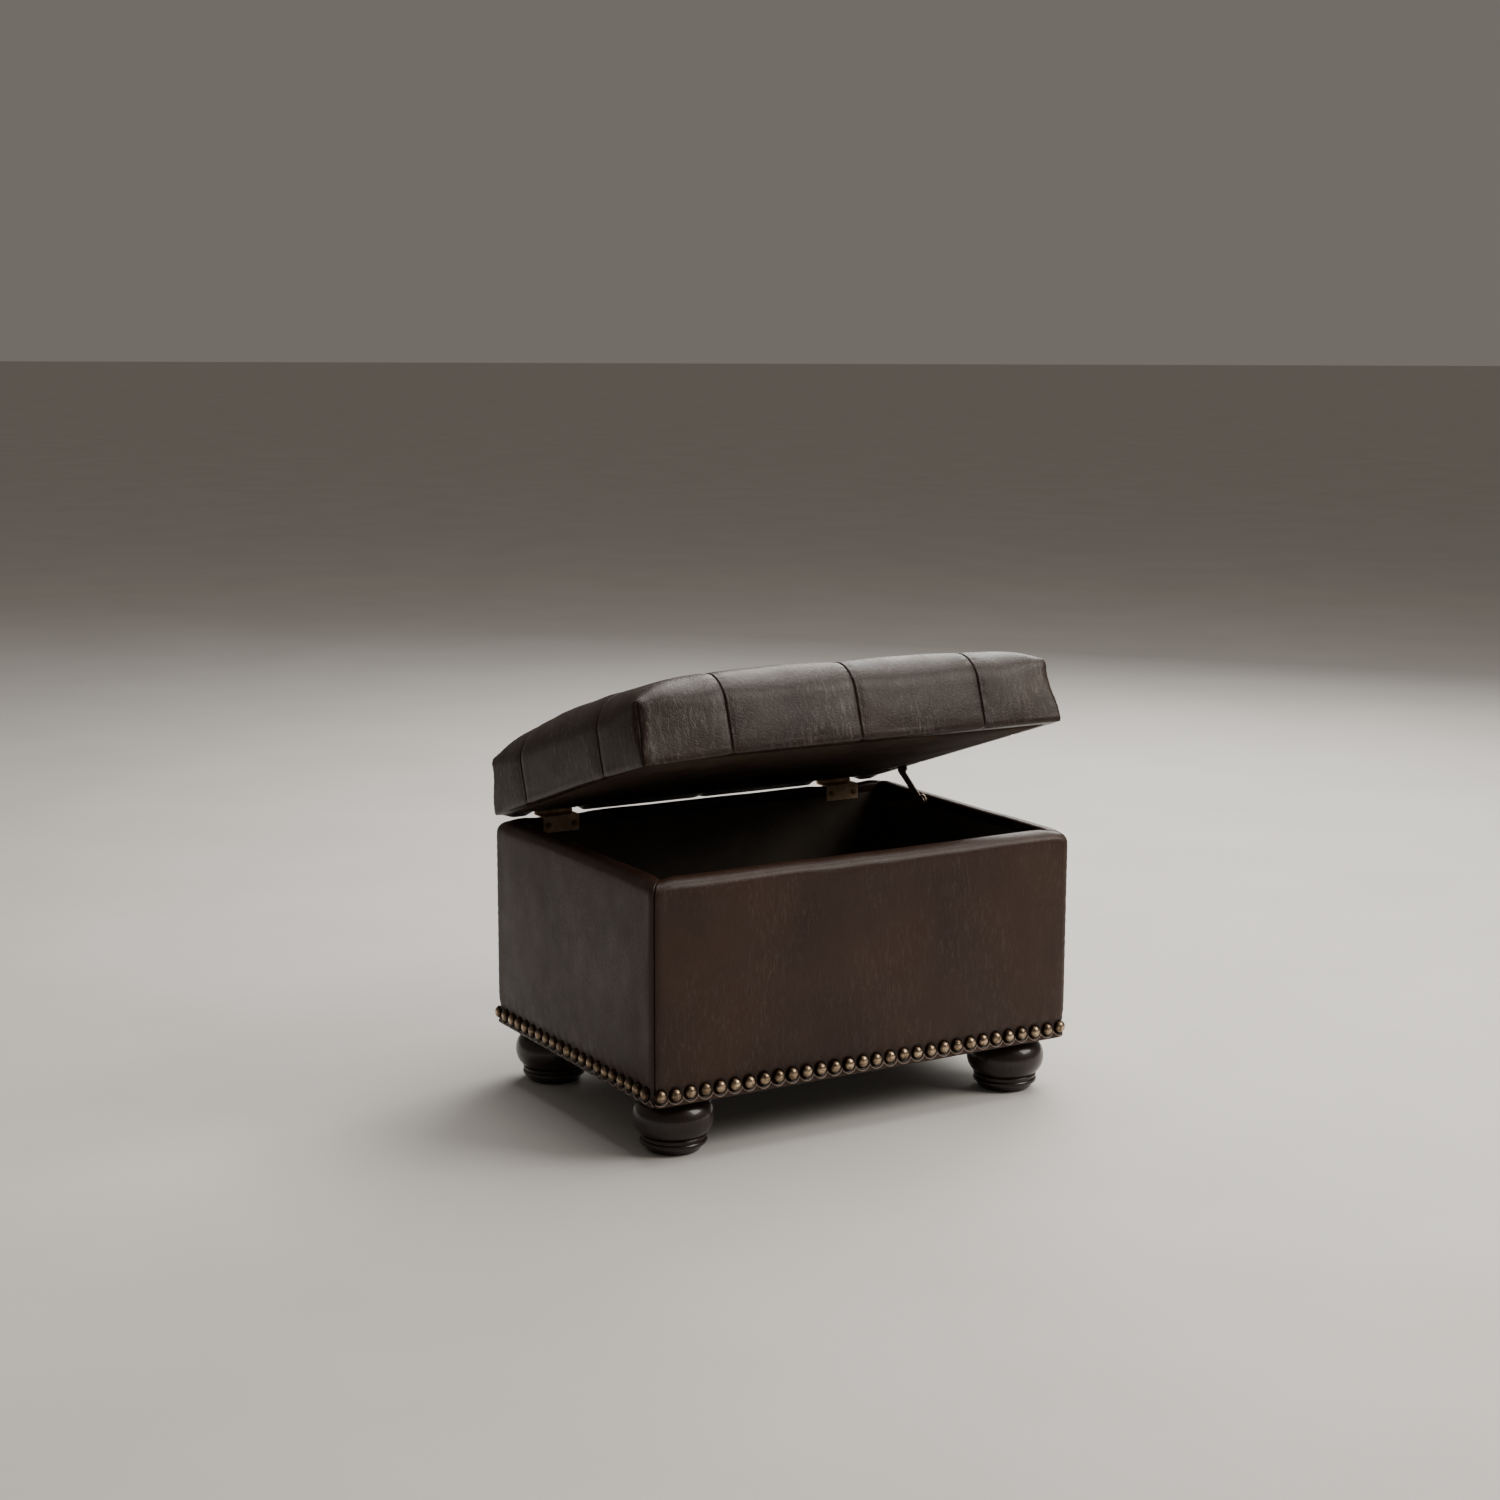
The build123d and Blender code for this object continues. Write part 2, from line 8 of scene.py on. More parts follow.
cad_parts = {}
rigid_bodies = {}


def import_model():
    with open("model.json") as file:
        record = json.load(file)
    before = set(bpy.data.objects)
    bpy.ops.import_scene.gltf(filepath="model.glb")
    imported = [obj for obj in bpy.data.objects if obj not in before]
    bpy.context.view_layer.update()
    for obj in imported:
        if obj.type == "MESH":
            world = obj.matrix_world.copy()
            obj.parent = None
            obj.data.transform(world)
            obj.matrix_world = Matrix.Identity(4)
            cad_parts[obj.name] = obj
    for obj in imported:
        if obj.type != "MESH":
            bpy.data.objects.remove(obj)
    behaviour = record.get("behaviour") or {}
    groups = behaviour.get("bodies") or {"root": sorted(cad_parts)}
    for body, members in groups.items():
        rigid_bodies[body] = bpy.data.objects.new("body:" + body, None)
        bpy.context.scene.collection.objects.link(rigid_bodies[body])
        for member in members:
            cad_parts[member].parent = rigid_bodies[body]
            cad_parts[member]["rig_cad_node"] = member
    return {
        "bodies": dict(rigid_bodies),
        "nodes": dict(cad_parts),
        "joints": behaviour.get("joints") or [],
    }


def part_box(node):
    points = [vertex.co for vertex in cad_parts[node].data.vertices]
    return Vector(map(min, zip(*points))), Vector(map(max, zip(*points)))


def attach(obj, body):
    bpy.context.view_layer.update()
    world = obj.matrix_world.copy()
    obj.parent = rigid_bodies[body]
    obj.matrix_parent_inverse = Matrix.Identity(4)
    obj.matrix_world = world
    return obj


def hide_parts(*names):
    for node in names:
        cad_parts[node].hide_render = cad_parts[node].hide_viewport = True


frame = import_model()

# A padded storage bench on four bun feet, its hinged lid ajar.
# Shapes are worked out in millimetres in the row frame, and meshes are made in metres.

MM = 0.001
UP = np.array((0, 0, 1))

for thing in list(bpy.data.objects):
    if "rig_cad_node" not in thing and thing not in frame["bodies"].values():
        bpy.data.objects.remove(thing)
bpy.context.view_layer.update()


# ---- places taken from the frame


def span(*nodes):
    """The lowest and highest corner of some CAD nodes together, in millimetres."""
    boxes = [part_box(node) for node in nodes]
    low = np.array([box[0] for box in boxes]).min(0) / MM
    high = np.array([box[1] for box in boxes]).max(0) / MM
    return low, high


SIDES = ("front", "back", "left", "right")
BODY_LOW, BODY_HIGH = span(*[side + "_cover" for side in SIDES])
BODY_MIDDLE = (BODY_LOW + BODY_HIGH) / 2
BODY_HALF = (BODY_HIGH - BODY_LOW) / 2
HEM_Z, RIM_Z = BODY_LOW[2], BODY_HIGH[2]
WALL = span("front_cover")[1][1] - BODY_LOW[1]

HINGE = next(joint for joint in frame["joints"] if joint["name"] == "lid_hinge")
HINGE_PLACE = np.array(HINGE["pos_m"]) / MM
OPEN = math.radians(-HINGE["range_deg"][0])
# The lid turns about the X axis: this takes its pieces from shut to ajar
AJAR = np.array(Matrix.Rotation(-OPEN, 3, "X"))


def ajar(points):
    """Points of the lid, moved from where they are with the lid shut to where they are stored."""
    return (points - HINGE_PLACE) @ AJAR.T + HINGE_PLACE


def shut_span(node):
    """A lid node's lowest and highest corner with the lid shut."""
    mesh = frame["nodes"][node].data
    points = np.array([vertex.co for vertex in mesh.vertices]) / MM
    points = (points - HINGE_PLACE) @ AJAR + HINGE_PLACE
    return points.min(0), points.max(0)


LID_LOW, LID_HIGH = shut_span("lid_cover")
LID_MIDDLE = (LID_LOW + LID_HIGH) / 2


# ---- small tools


def smooth(value):
    """0 below 0, 1 above 1, and an easy curve between."""
    value = np.clip(value, 0, 1)
    return value * value * (3 - 2 * value)


def hump(distance, width):
    """1 at no distance, falling to nothing a couple of widths away."""
    return np.exp(-((distance / width) ** 2))


def drift(points, length, seed, count=14):
    """A smooth random field of about unit height, with waves about a length long."""
    draw = np.random.default_rng(seed)
    ways = draw.normal(size=(count, 3))
    ways /= np.linalg.norm(ways, axis=1, keepdims=True)
    ways *= 2 * math.pi / length * draw.uniform(0.6, 1.5, (count, 1))
    turns = draw.uniform(0, 2 * math.pi, count)
    return np.sin(points @ ways.T + turns).sum(-1) / math.sqrt(count / 2)


def lines(breaks, step, close=()):
    """Grid lines: the breaks, even steps of about a length between them, and some close to each."""
    found, reach = [], max(close, default=0)
    for near, far in zip(breaks, breaks[1:]):
        count = max(1, round((far - near - 2 * reach) / step))
        found += [near, *(near + gap for gap in close)]
        found += list(np.linspace(near + reach, far - reach, count + 1))[1:-1]
        found += [far - gap for gap in reversed(close)]
    return np.array(found + [breaks[-1]])


def from_nearest(values, stops):
    """How far each value is from the nearest of some stops."""
    return np.abs(values[..., None] - np.array(stops)).min(-1)


def grid_faces(index, flip=False):
    """The quads of a grid of vertex numbers."""
    quads = np.stack([index[:-1, :-1], index[1:, :-1], index[1:, 1:], index[:-1, 1:]], axis=-1)
    quads = quads.reshape(-1, 4)
    return quads[:, ::-1] if flip else quads


def new_mesh(name, points, faces):
    """A mesh from points in millimetres."""
    mesh = bpy.data.meshes.new(name)
    faces = [list(map(int, face)) for face in faces]
    mesh.from_pydata((np.asarray(points) * MM).tolist(), [], faces)
    return mesh


def new_object(name, data):
    """An object in the scene."""
    obj = bpy.data.objects.new(name, data)
    bpy.context.scene.collection.objects.link(obj)
    return obj


def piece(name, points, faces, material, body):
    """A smooth mesh piece that rides on a body, from points in millimetres."""
    mesh = new_mesh(name, points, faces)
    mesh.polygons.foreach_set("use_smooth", [True] * len(mesh.polygons))
    mesh.materials.append(material)
    obj = new_object(name, mesh)
    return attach(obj, body)


def unit(vectors):
    """Vectors of length one, or zero where they have no length."""
    return vectors / np.maximum(np.linalg.norm(vectors, axis=1, keepdims=True), 1e-9)


def beside(x, node):
    """How far each place along X is outside a CAD node."""
    low, high = span(node)
    return np.maximum(np.abs(x - (low[0] + high[0]) / 2) - (high[0] - low[0]) / 2, 0)


def used_part(points, faces):
    """Only the points that some quads use, and the quads numbered to match."""
    used, faces = np.unique(faces, return_inverse=True)
    return points[used], faces.reshape(-1, 4)


def point_values(obj, **layers):
    """Stores a value at each point of a mesh, for its material to read."""
    for name, values in layers.items():
        obj.data.attributes.new(name, "FLOAT", "POINT").data.foreach_set("value", np.ravel(values))


def normals(points, faces):
    """The normal at each point of a mesh of quads."""
    across = points[faces[:, 2]] - points[faces[:, 0]]
    along = points[faces[:, 3]] - points[faces[:, 1]]
    face_normals = np.cross(across, along)
    found = np.zeros_like(points)
    for corner in range(4):
        np.add.at(found, faces[:, corner], face_normals)
    return unit(found)


def thicken(obj, thickness):
    """Makes a surface a closed shell, with its thickness behind its faces."""
    solid = obj.modifiers.new("thickness", "SOLIDIFY")
    solid.thickness = thickness * MM
    solid.offset = -1
    solid.use_even_offset = False
    mesh = bpy.data.meshes.new_from_object(obj.evaluated_get(bpy.context.evaluated_depsgraph_get()))
    obj.modifiers.remove(solid)
    obj.data = mesh


# ---- materials


class Finish:
    """A material, built a node at a time on its Principled shader."""

    def __init__(self, name, tilt=0.0, **sockets):
        self.material = bpy.data.materials.new(name)
        self.material.use_nodes = True
        self.tree = self.material.node_tree
        self.shader = self.tree.nodes["Principled BSDF"]
        place = self.node("ShaderNodeTexCoord").outputs["Object"]
        turned = self.node("ShaderNodeMapping", {"Vector": place, "Rotation": (tilt, 0, 0)})
        self.place = turned.outputs["Vector"]
        for socket, value in sockets.items():
            self.set(socket.replace("_", " "), value)

    def node(self, kind, inputs=None, **settings):
        node = self.tree.nodes.new(kind)
        for key, value in settings.items():
            setattr(node, key, value)
        for key, value in (inputs or {}).items():
            self.feed(node.inputs[key], value)
        return node

    def feed(self, socket, value):
        if isinstance(value, bpy.types.NodeSocket):
            self.tree.links.new(value, socket)
        else:
            socket.default_value = value

    def set(self, socket, value):
        self.feed(self.shader.inputs[socket], value)

    def stored(self, name):
        """A value that the mesh holds at its points."""
        return self.node("ShaderNodeAttribute", attribute_name=name).outputs["Fac"]

    def stretched(self, scale):
        """The place, with each axis scaled, for grain or streaks that run one way."""
        return self.node("ShaderNodeMapping", {"Vector": self.place, "Scale": scale}).outputs["Vector"]

    def noise(self, scale, detail=3.0, rough=0.5, place=None, distortion=0.0):
        inputs = {"Vector": place or self.place, "Scale": scale, "Detail": detail}
        inputs |= {"Roughness": rough, "Distortion": distortion}
        return self.node("ShaderNodeTexNoise", inputs).outputs["Fac"]

    def cells(self, scale, feature="F1", place=None):
        inputs = {"Vector": place or self.place, "Scale": scale}
        return self.node("ShaderNodeTexVoronoi", inputs, feature=feature).outputs["Distance"]

    def bands(self, scale, distortion, direction):
        inputs = {"Vector": self.place, "Scale": scale, "Distortion": distortion}
        inputs |= {"Detail": 3.0, "Detail Scale": 1.5}
        settings = {"wave_type": "BANDS", "bands_direction": direction}
        return self.node("ShaderNodeTexWave", inputs, **settings).outputs["Fac"]

    def range(self, value, low, high, new_low=0.0, new_high=1.0):
        inputs = {"Value": value, "From Min": low, "From Max": high}
        inputs |= {"To Min": new_low, "To Max": new_high}
        return self.node("ShaderNodeMapRange", inputs).outputs["Result"]

    def mix(self, factor, first, second):
        node = self.node("ShaderNodeMix", data_type="RGBA")
        sockets = [socket for socket in node.inputs if socket.enabled]
        for socket, value in zip(sockets, (factor, first, second)):
            if isinstance(value, tuple) and len(value) == 3:
                value = (*value, 1.0)
            self.feed(socket, value)
        return next(socket for socket in node.outputs if socket.enabled)

    def sum(self, first, second, operation="ADD"):
        node = self.node("ShaderNodeMath", operation=operation)
        self.feed(node.inputs[0], first)
        self.feed(node.inputs[1], second)
        return node.outputs["Value"]

    def bump(self, height, depth, strength=1.0):
        """Relief of a depth in metres, laid over any relief already there."""
        normal = self.shader.inputs["Normal"]
        inputs = {"Height": height, "Distance": depth, "Strength": strength}
        node = self.node("ShaderNodeBump", inputs)
        if normal.is_linked:
            self.feed(node.inputs["Normal"], normal.links[0].from_socket)
        self.feed(normal, node.outputs["Normal"])


LEATHER_DARK = (0.022, 0.0092, 0.0052)
LEATHER_BROWN = (0.034, 0.0150, 0.0086)
# Grey of the rubbed streaks, partly real rubbing and partly a painted sheen
LEATHER_RUBBED_AND_SHEEN = (0.120, 0.098, 0.086)
# The colour of the painted shade round the nails
LEATHER_SHADED = (0.0060, 0.0030, 0.0022)
# The colour of the painted highlight on the hem's scallop under the nails
LEATHER_SCALLOP_HIGHLIGHT = (0.30, 0.23, 0.19)
# Distances from a nail's middle, as shares of the pitch between nails, of the scallop line that carries a
# painted highlight
SCALLOP_RADIUS = 0.555
SCALLOP_HALF_WIDTH = 0.045


def round_nails(finish):
    """Where leather gets painted shade round the nails, and where its edge shows as a scallop under them
    with a painted highlight.
    """
    turn = finish.stored("nail_turn")
    rise = finish.stored("nail_rise")
    beside = finish.sum(finish.sum(turn, 0.0, "FRACT"), -0.5)
    from_nail = finish.sum(finish.sum(beside, 2.0, "POWER"), finish.sum(rise, 2.0, "POWER"))
    from_nail = finish.sum(from_nail, 0.5, "POWER")
    from_line = finish.sum(finish.sum(from_nail, -SCALLOP_RADIUS), 0.0, "ABSOLUTE")
    line = finish.range(from_line, SCALLOP_HALF_WIDTH, 0.01)
    scallop_bump_and_highlight = finish.sum(line, finish.range(rise, -0.04, -0.14), "MULTIPLY")
    return finish.range(from_nail, 0.42, 0.62, 0.75, 0.0), scallop_bump_and_highlight


def scaled(colour, share):
    """A share of a colour, darker or lighter."""
    return tuple(share * part for part in colour)


def leather(name, tilt, streaks, share, nailed=False):
    """Bonded leather: dark brown, pebbled and half glossy, with a cloudy rubbed finish whose grey streaks
    are partly a painted sheen.
    """
    finish = Finish(name, tilt, Specular_IOR_Level=0.24, Coat_Weight=0.06, Coat_Roughness=0.24)
    colours = (LEATHER_DARK, LEATHER_BROWN, LEATHER_RUBBED_AND_SHEEN)
    dark, brown, rubbed = (scaled(colour, share) for colour in colours)
    clouds = finish.noise(7, 4, 0.55, distortion=0.4)
    base = finish.mix(finish.range(clouds, 0.32, 0.68), dark, brown)
    run = finish.noise(1, 4, 0.6, place=finish.stretched((240, 240, 50)), distortion=1.1)
    patch = finish.noise(9, 3, 0.55)
    streak = finish.sum(finish.range(run, 0.50, 0.66), finish.range(patch, 0.36, 0.56), "MULTIPLY")
    fleck = finish.noise(230, 3, 0.6)
    streak = finish.sum(streak, finish.range(fleck, 0.30, 0.75, 0.45, 1.15), "MULTIPLY")
    # Grey rubbed streaks, partly real rubbing and partly a painted sheen
    base = finish.mix(finish.sum(streak, streaks, "MULTIPLY"), base, rubbed)
    if nailed:
        shade, scallop_bump_and_highlight = round_nails(finish)
        # Painted shade round the nails
        base = finish.mix(shade, base, LEATHER_SHADED)
        # A painted highlight along the scallop of the hem under the nails, which also gets a real bump
        base = finish.mix(finish.sum(scallop_bump_and_highlight, 0.9, "MULTIPLY"), base, LEATHER_SCALLOP_HIGHLIGHT)
        finish.bump(scallop_bump_and_highlight, 0.0012, 0.8)
    finish.set("Base Color", base)
    pebbles = finish.cells(720, "SMOOTH_F1")
    creases = finish.cells(150, "DISTANCE_TO_EDGE", place=finish.stretched((1, 1.2, 0.85)))
    pores = finish.noise(1400, 2, 0.6)
    sheen = finish.range(finish.noise(26, 4, 0.6), 0.3, 0.7, 0.33, 0.45)
    finish.set("Roughness", finish.sum(sheen, finish.range(pebbles, 0.0, 0.9, 0.0, 0.10)))
    finish.bump(finish.noise(60, 4, 0.6, distortion=0.8), 0.0006, 0.35)
    finish.bump(finish.range(creases, 0.0, 0.10), 0.00022, 0.5)
    finish.bump(pebbles, 0.00030, 0.55)
    finish.bump(pores, 0.00008, 0.4)
    return finish.material


def worn_metal(name, bright, dull, rough, scale=90, metal=1.0):
    """Metal with stains and fine scratches, part of it under a dull film."""
    finish = Finish(name, Metallic=metal)
    stains = finish.noise(scale, 5, 0.65, distortion=0.5)
    base = finish.mix(finish.range(stains, 0.38, 0.66), dull, bright)
    finish.set("Base Color", base)
    grit = finish.noise(scale * 9, 3, 0.6)
    wear = finish.sum(stains, grit)
    finish.set("Roughness", finish.range(wear, 0.6, 1.4, rough + 0.12, rough - 0.08))
    scratches = finish.noise(1, 3, 0.5, place=finish.stretched((2600, 240, 700)))
    finish.bump(scratches, 0.00004, 0.35)
    finish.bump(grit, 0.00006, 0.4)
    return finish.material


BRASS_PATINA = (0.034, 0.020, 0.012)
BRASS_CROWN = (0.88, 0.66, 0.45)


def nail_brass():
    """Antique brass: a dark patina in the low parts, rubbed bright on the crown."""
    finish = Finish("antique_brass", Metallic=1.0)
    crown = finish.stored("crown")
    tone = finish.stored("tone")
    stains = finish.noise(170, 5, 0.65, distortion=0.7)
    rubbed = finish.sum(finish.range(stains, 0.30, 0.70), finish.range(crown, 0.45, 1.0), "MULTIPLY")
    rubbed = finish.sum(rubbed, tone, "MULTIPLY")
    base = finish.mix(rubbed, BRASS_PATINA, BRASS_CROWN)
    finish.set("Base Color", base)
    finish.set("Roughness", finish.range(rubbed, 0.0, 1.0, 0.34, 0.24))
    finish.bump(finish.noise(520, 3, 0.6), 0.00018, 0.5)
    finish.bump(finish.noise(110, 2, 0.5), 0.0006, 0.4)
    return finish.material


STAIN_DARK = (0.0062, 0.0030, 0.0022)
STAIN_LIGHT = (0.0200, 0.0092, 0.0060)
STAIN_CLOUDY = (0.012, 0.0075, 0.0055)


def turned_wood():
    """Espresso-stained wood under a satin lacquer, with a faint upright grain."""
    finish = Finish("espresso_wood", Coat_Weight=0.35, Coat_Roughness=0.10, Specular_IOR_Level=0.3)
    grain = finish.noise(1, 6, 0.62, place=finish.stretched((230, 230, 16)), distortion=0.9)
    clouds = finish.noise(14, 3, 0.5)
    base = finish.mix(finish.range(grain, 0.34, 0.70), STAIN_DARK, STAIN_LIGHT)
    base = finish.mix(finish.range(clouds, 0.35, 0.75, 0.0, 0.35), base, STAIN_CLOUDY)
    finish.set("Base Color", base)
    finish.set("Roughness", finish.range(grain, 0.3, 0.7, 0.40, 0.28))
    finish.bump(grain, 0.00018, 0.4)
    finish.bump(finish.noise(36, 2, 0.5), 0.0007, 0.25)
    return finish.material


SAWN_ROUGHNESS = 0.72


def sawn_wood(name, light, dark, along):
    """Bare wood or board with a grain that runs along one axis."""
    finish = Finish(name)
    grain = finish.noise(1, 6, 0.6, place=finish.stretched(along), distortion=1.1)
    speck = finish.noise(480, 3, 0.6)
    base = finish.mix(finish.range(grain, 0.32, 0.70), light, dark)
    finish.set("Base Color", finish.mix(finish.range(speck, 0.52, 0.72, 0.0, 0.5), base, dark))
    rough = (SAWN_ROUGHNESS - 0.06, SAWN_ROUGHNESS + 0.1)
    finish.set("Roughness", finish.range(speck, 0.3, 0.7, *rough))
    finish.bump(grain, 0.0003, 0.5)
    finish.bump(speck, 0.00015, 0.4)
    return finish.material


CLOTH_ROUGHNESS = 0.85
THREAD_WOBBLE = 0.35


def cloth(name, tilt, colour, lighter, pitch, fuzz):
    """Plain woven cloth: two sets of threads, a little fuzz and an uneven dye."""
    finish = Finish(name, tilt, Sheen_Weight=fuzz, Sheen_Roughness=0.5, Specular_IOR_Level=0.05)
    wobble = finish.noise(120, 2, 0.5)
    warp, weft, rise = (finish.bands(pitch, THREAD_WOBBLE, axis) for axis in "XYZ")
    weave = finish.sum(finish.sum(warp, weft, "MAXIMUM"), rise, "MULTIPLY")
    dye = finish.noise(11, 4, 0.6)
    base = finish.mix(finish.range(dye, 0.35, 0.7), colour, lighter)
    finish.set("Base Color", finish.mix(finish.range(weave, 0.2, 1.0, 0.0, 0.55), base, lighter))
    rough = (CLOTH_ROUGHNESS - 0.05, CLOTH_ROUGHNESS + 0.08)
    finish.set("Roughness", finish.range(wobble, 0.3, 0.7, *rough))
    finish.bump(finish.noise(38, 4, 0.6), 0.0008, 0.35)
    finish.bump(weave, 0.00022, 0.6)
    return finish.material


def felted(name, colour, lighter):
    """Non-woven cloth: pressed fibres with a faint dimple pattern."""
    finish = Finish(name, Specular_IOR_Level=0.3, Sheen_Weight=0.1)
    fibres = finish.noise(420, 6, 0.7, distortion=1.5)
    dimples = finish.cells(420, "F1")
    finish.set("Base Color", finish.mix(finish.range(fibres, 0.35, 0.7), colour, lighter))
    finish.set("Roughness", finish.range(fibres, 0.3, 0.7, 0.78, 0.92))
    finish.bump(fibres, 0.0003, 0.5)
    finish.bump(dimples, 0.00015, 0.5)
    return finish.material


def foam():
    """Open-cell foam, pale and slightly yellowed."""
    finish = Finish("upholstery_foam", Subsurface_Weight=0.1)
    pores = finish.cells(900, "F1")
    yellowed = finish.noise(9, 3, 0.5)
    base = finish.mix(finish.range(yellowed, 0.3, 0.7), (0.72, 0.66, 0.48), (0.62, 0.52, 0.32))
    finish.set("Base Color", base)
    finish.set("Roughness", finish.range(pores, 0.0, 0.8, 0.95, 0.8))
    finish.bump(pores, 0.0005, 0.7)
    return finish.material


def moulded_plastic():
    """Black plastic with a fine spark-eroded texture."""
    finish = Finish("glide_plastic", Specular_IOR_Level=0.45)
    grit = finish.noise(1300, 3, 0.6)
    wear = finish.noise(60, 4, 0.6)
    black, worn = (0.010, 0.010, 0.010), (0.040, 0.038, 0.036)
    finish.set("Base Color", finish.mix(finish.range(wear, 0.45, 0.75), black, worn))
    finish.set("Roughness", finish.range(wear, 0.3, 0.7, 0.42, 0.62))
    finish.bump(grit, 0.00008, 0.5)
    return finish.material


# Two copies of one leather: the lid's carries the rubbed streaks in full, partly as a painted sheen for
# the light it catches, and the body's only a fifth of them
BODY_LEATHER = leather("body_leather", 0.0, 0.20, 1.0, nailed=True)
LID_LEATHER = leather("lid_leather", OPEN, 1.0, 0.62)
BRASS = nail_brass()
LINER_COLOURS = ((0.028, 0.0180, 0.0133), (0.052, 0.0345, 0.0260))
LINING_COLOURS = ((0.050, 0.0410, 0.0340), (0.088, 0.0730, 0.0610))
LINER_CLOTH = cloth("liner_cloth", OPEN, *LINER_COLOURS, pitch=620, fuzz=0.0)
LINING_CLOTH = cloth("lining_cloth", 0.0, *LINING_COLOURS, pitch=700, fuzz=0.1)
DUST_CLOTH = felted("dust_cloth", (0.010, 0.010, 0.010), (0.028, 0.027, 0.026))
FINISHES = {
    "board": sawn_wood("pine_board", (0.52, 0.36, 0.20), (0.33, 0.20, 0.10), (9, 130, 130)),
    "softwood": sawn_wood("softwood", (0.62, 0.46, 0.28), (0.44, 0.28, 0.14), (12, 190, 190)),
    "foot": turned_wood(),
    "foam": foam(),
    "hinge": worn_metal("hinge_bronze", (0.62, 0.45, 0.30), (0.40, 0.27, 0.17), 0.44, 60, 0.75),
    "screw": worn_metal("screw_bronze", (0.42, 0.27, 0.14), (0.09, 0.052, 0.028), 0.42, 260),
    "stay": worn_metal("stay_steel", (0.24, 0.19, 0.15), (0.11, 0.085, 0.068), 0.38, 150, 0.7),
    "zinc": worn_metal("zinc_steel", (0.62, 0.62, 0.60), (0.42, 0.42, 0.41), 0.38, 160),
    "glide": moulded_plastic(),
}


def finish_of(node):
    """Which finish a CAD node has."""
    if node in ("foot_blocks", "floor_battens"):
        return FINISHES["softwood"]
    if node in ("foot_bolts", "foot_t_nuts"):
        return FINISHES["zinc"]
    if node == "foot_glides":
        return FINISHES["glide"]
    if node.endswith("board"):
        return FINISHES["board"]
    if node.endswith(("padding", "foam")):
        return FINISHES["foam"]
    if "screws" in node or "rivet" in node:
        return FINISHES["screw"]
    if node.endswith("cover") or node.startswith("nails"):
        return BODY_LEATHER
    return FINISHES.get(node.split("_")[0], LINING_CLOTH)


def finish_cad_nodes():
    """Gives every CAD node its material, whether or not a visual piece takes its place."""
    for node, obj in frame["nodes"].items():
        obj.data.materials.clear()
        obj.data.materials.append(finish_of(node))


# ---- body: one leather panel per side, over its foam, mitred at the corners

RIM_RADIUS = 18
INNER_RIM_RADIUS = 5
HEM_RADIUS = 3
LEATHER = 1.5
UNDER_TURN = WALL - LEATHER
CORNER_RADIUS = 10
LEAST_CORNER_RADIUS = 2.5
LEATHER_STEP = 2.6
NAIL_PITCH = 20.65
NEAR_SEAM = (0.5, 1.0, 1.7, 2.6, 4.0, 6.0, 8.5)
WRAP_Z = span("compartment_lining")[1][2]
NAIL_Z = (span("nails_front")[0][2] + span("nails_front")[1][2]) / 2
NAIL_RADIUS = (span("nails_front")[1][2] - span("nails_front")[0][2]) / 2

# Each side's outward direction, and the way along it that has the outside on its right
OUTWARD = {"front": (0, -1, 0), "back": (0, 1, 0), "left": (-1, 0, 0), "right": (1, 0, 0)}
ALONG = {"front": (1, 0, 0), "back": (-1, 0, 0), "left": (0, -1, 0), "right": (0, 1, 0)}


def half_sizes(side):
    """Half a side's length, and how far its outside is from the body's middle."""
    return BODY_HALF[:2] if side in ("front", "back") else BODY_HALF[1::-1]


def nail_places(side):
    """How far along the side's middle each nail is."""
    along = np.array(ALONG[side])
    low, high = span("nails_" + side)
    ends = sorted((np.array([low, high]) - BODY_MIDDLE) @ along)
    first, last = ends[0] + NAIL_RADIUS, ends[1] - NAIL_RADIUS
    return np.linspace(first, last, round((last - first) / NAIL_PITCH) + 1)


def wall_profile():
    """Down the outside of a wall from the turned-in edge: inset, height, and the normal's parts."""

    def arc(inset, height, radius, start, end, count):
        ways = [(math.cos(turn), math.sin(turn)) for turn in np.radians(np.linspace(start, end, count))]
        return [(inset + radius * c, height + radius * s, -c, s) for c, s in ways]

    rows = [(WALL, height, -1, 0) for height in np.linspace(WRAP_Z, RIM_Z - INNER_RIM_RADIUS, 4)[:-1]]
    rows += arc(WALL - INNER_RIM_RADIUS, RIM_Z - INNER_RIM_RADIUS, INNER_RIM_RADIUS, 0, 90, 5)
    rows += arc(RIM_RADIUS, RIM_Z - RIM_RADIUS, RIM_RADIUS, 90, 180, 10)
    face_high, nails_high = RIM_Z - RIM_RADIUS, NAIL_Z + 22
    rows += [(0, height, 1, 0) for height in np.linspace(face_high, nails_high, 38)[1:]]
    rows += [(0, height, 1, 0) for height in np.linspace(nails_high, HEM_Z + HEM_RADIUS, 17)[1:]]
    rows += arc(HEM_RADIUS, HEM_Z + HEM_RADIUS, HEM_RADIUS, 180, 270, 5)[1:]
    rows += [(inset, HEM_Z, 0, -1) for inset in np.linspace(HEM_RADIUS, UNDER_TURN, 6)[1:]]
    return np.array(rows).T


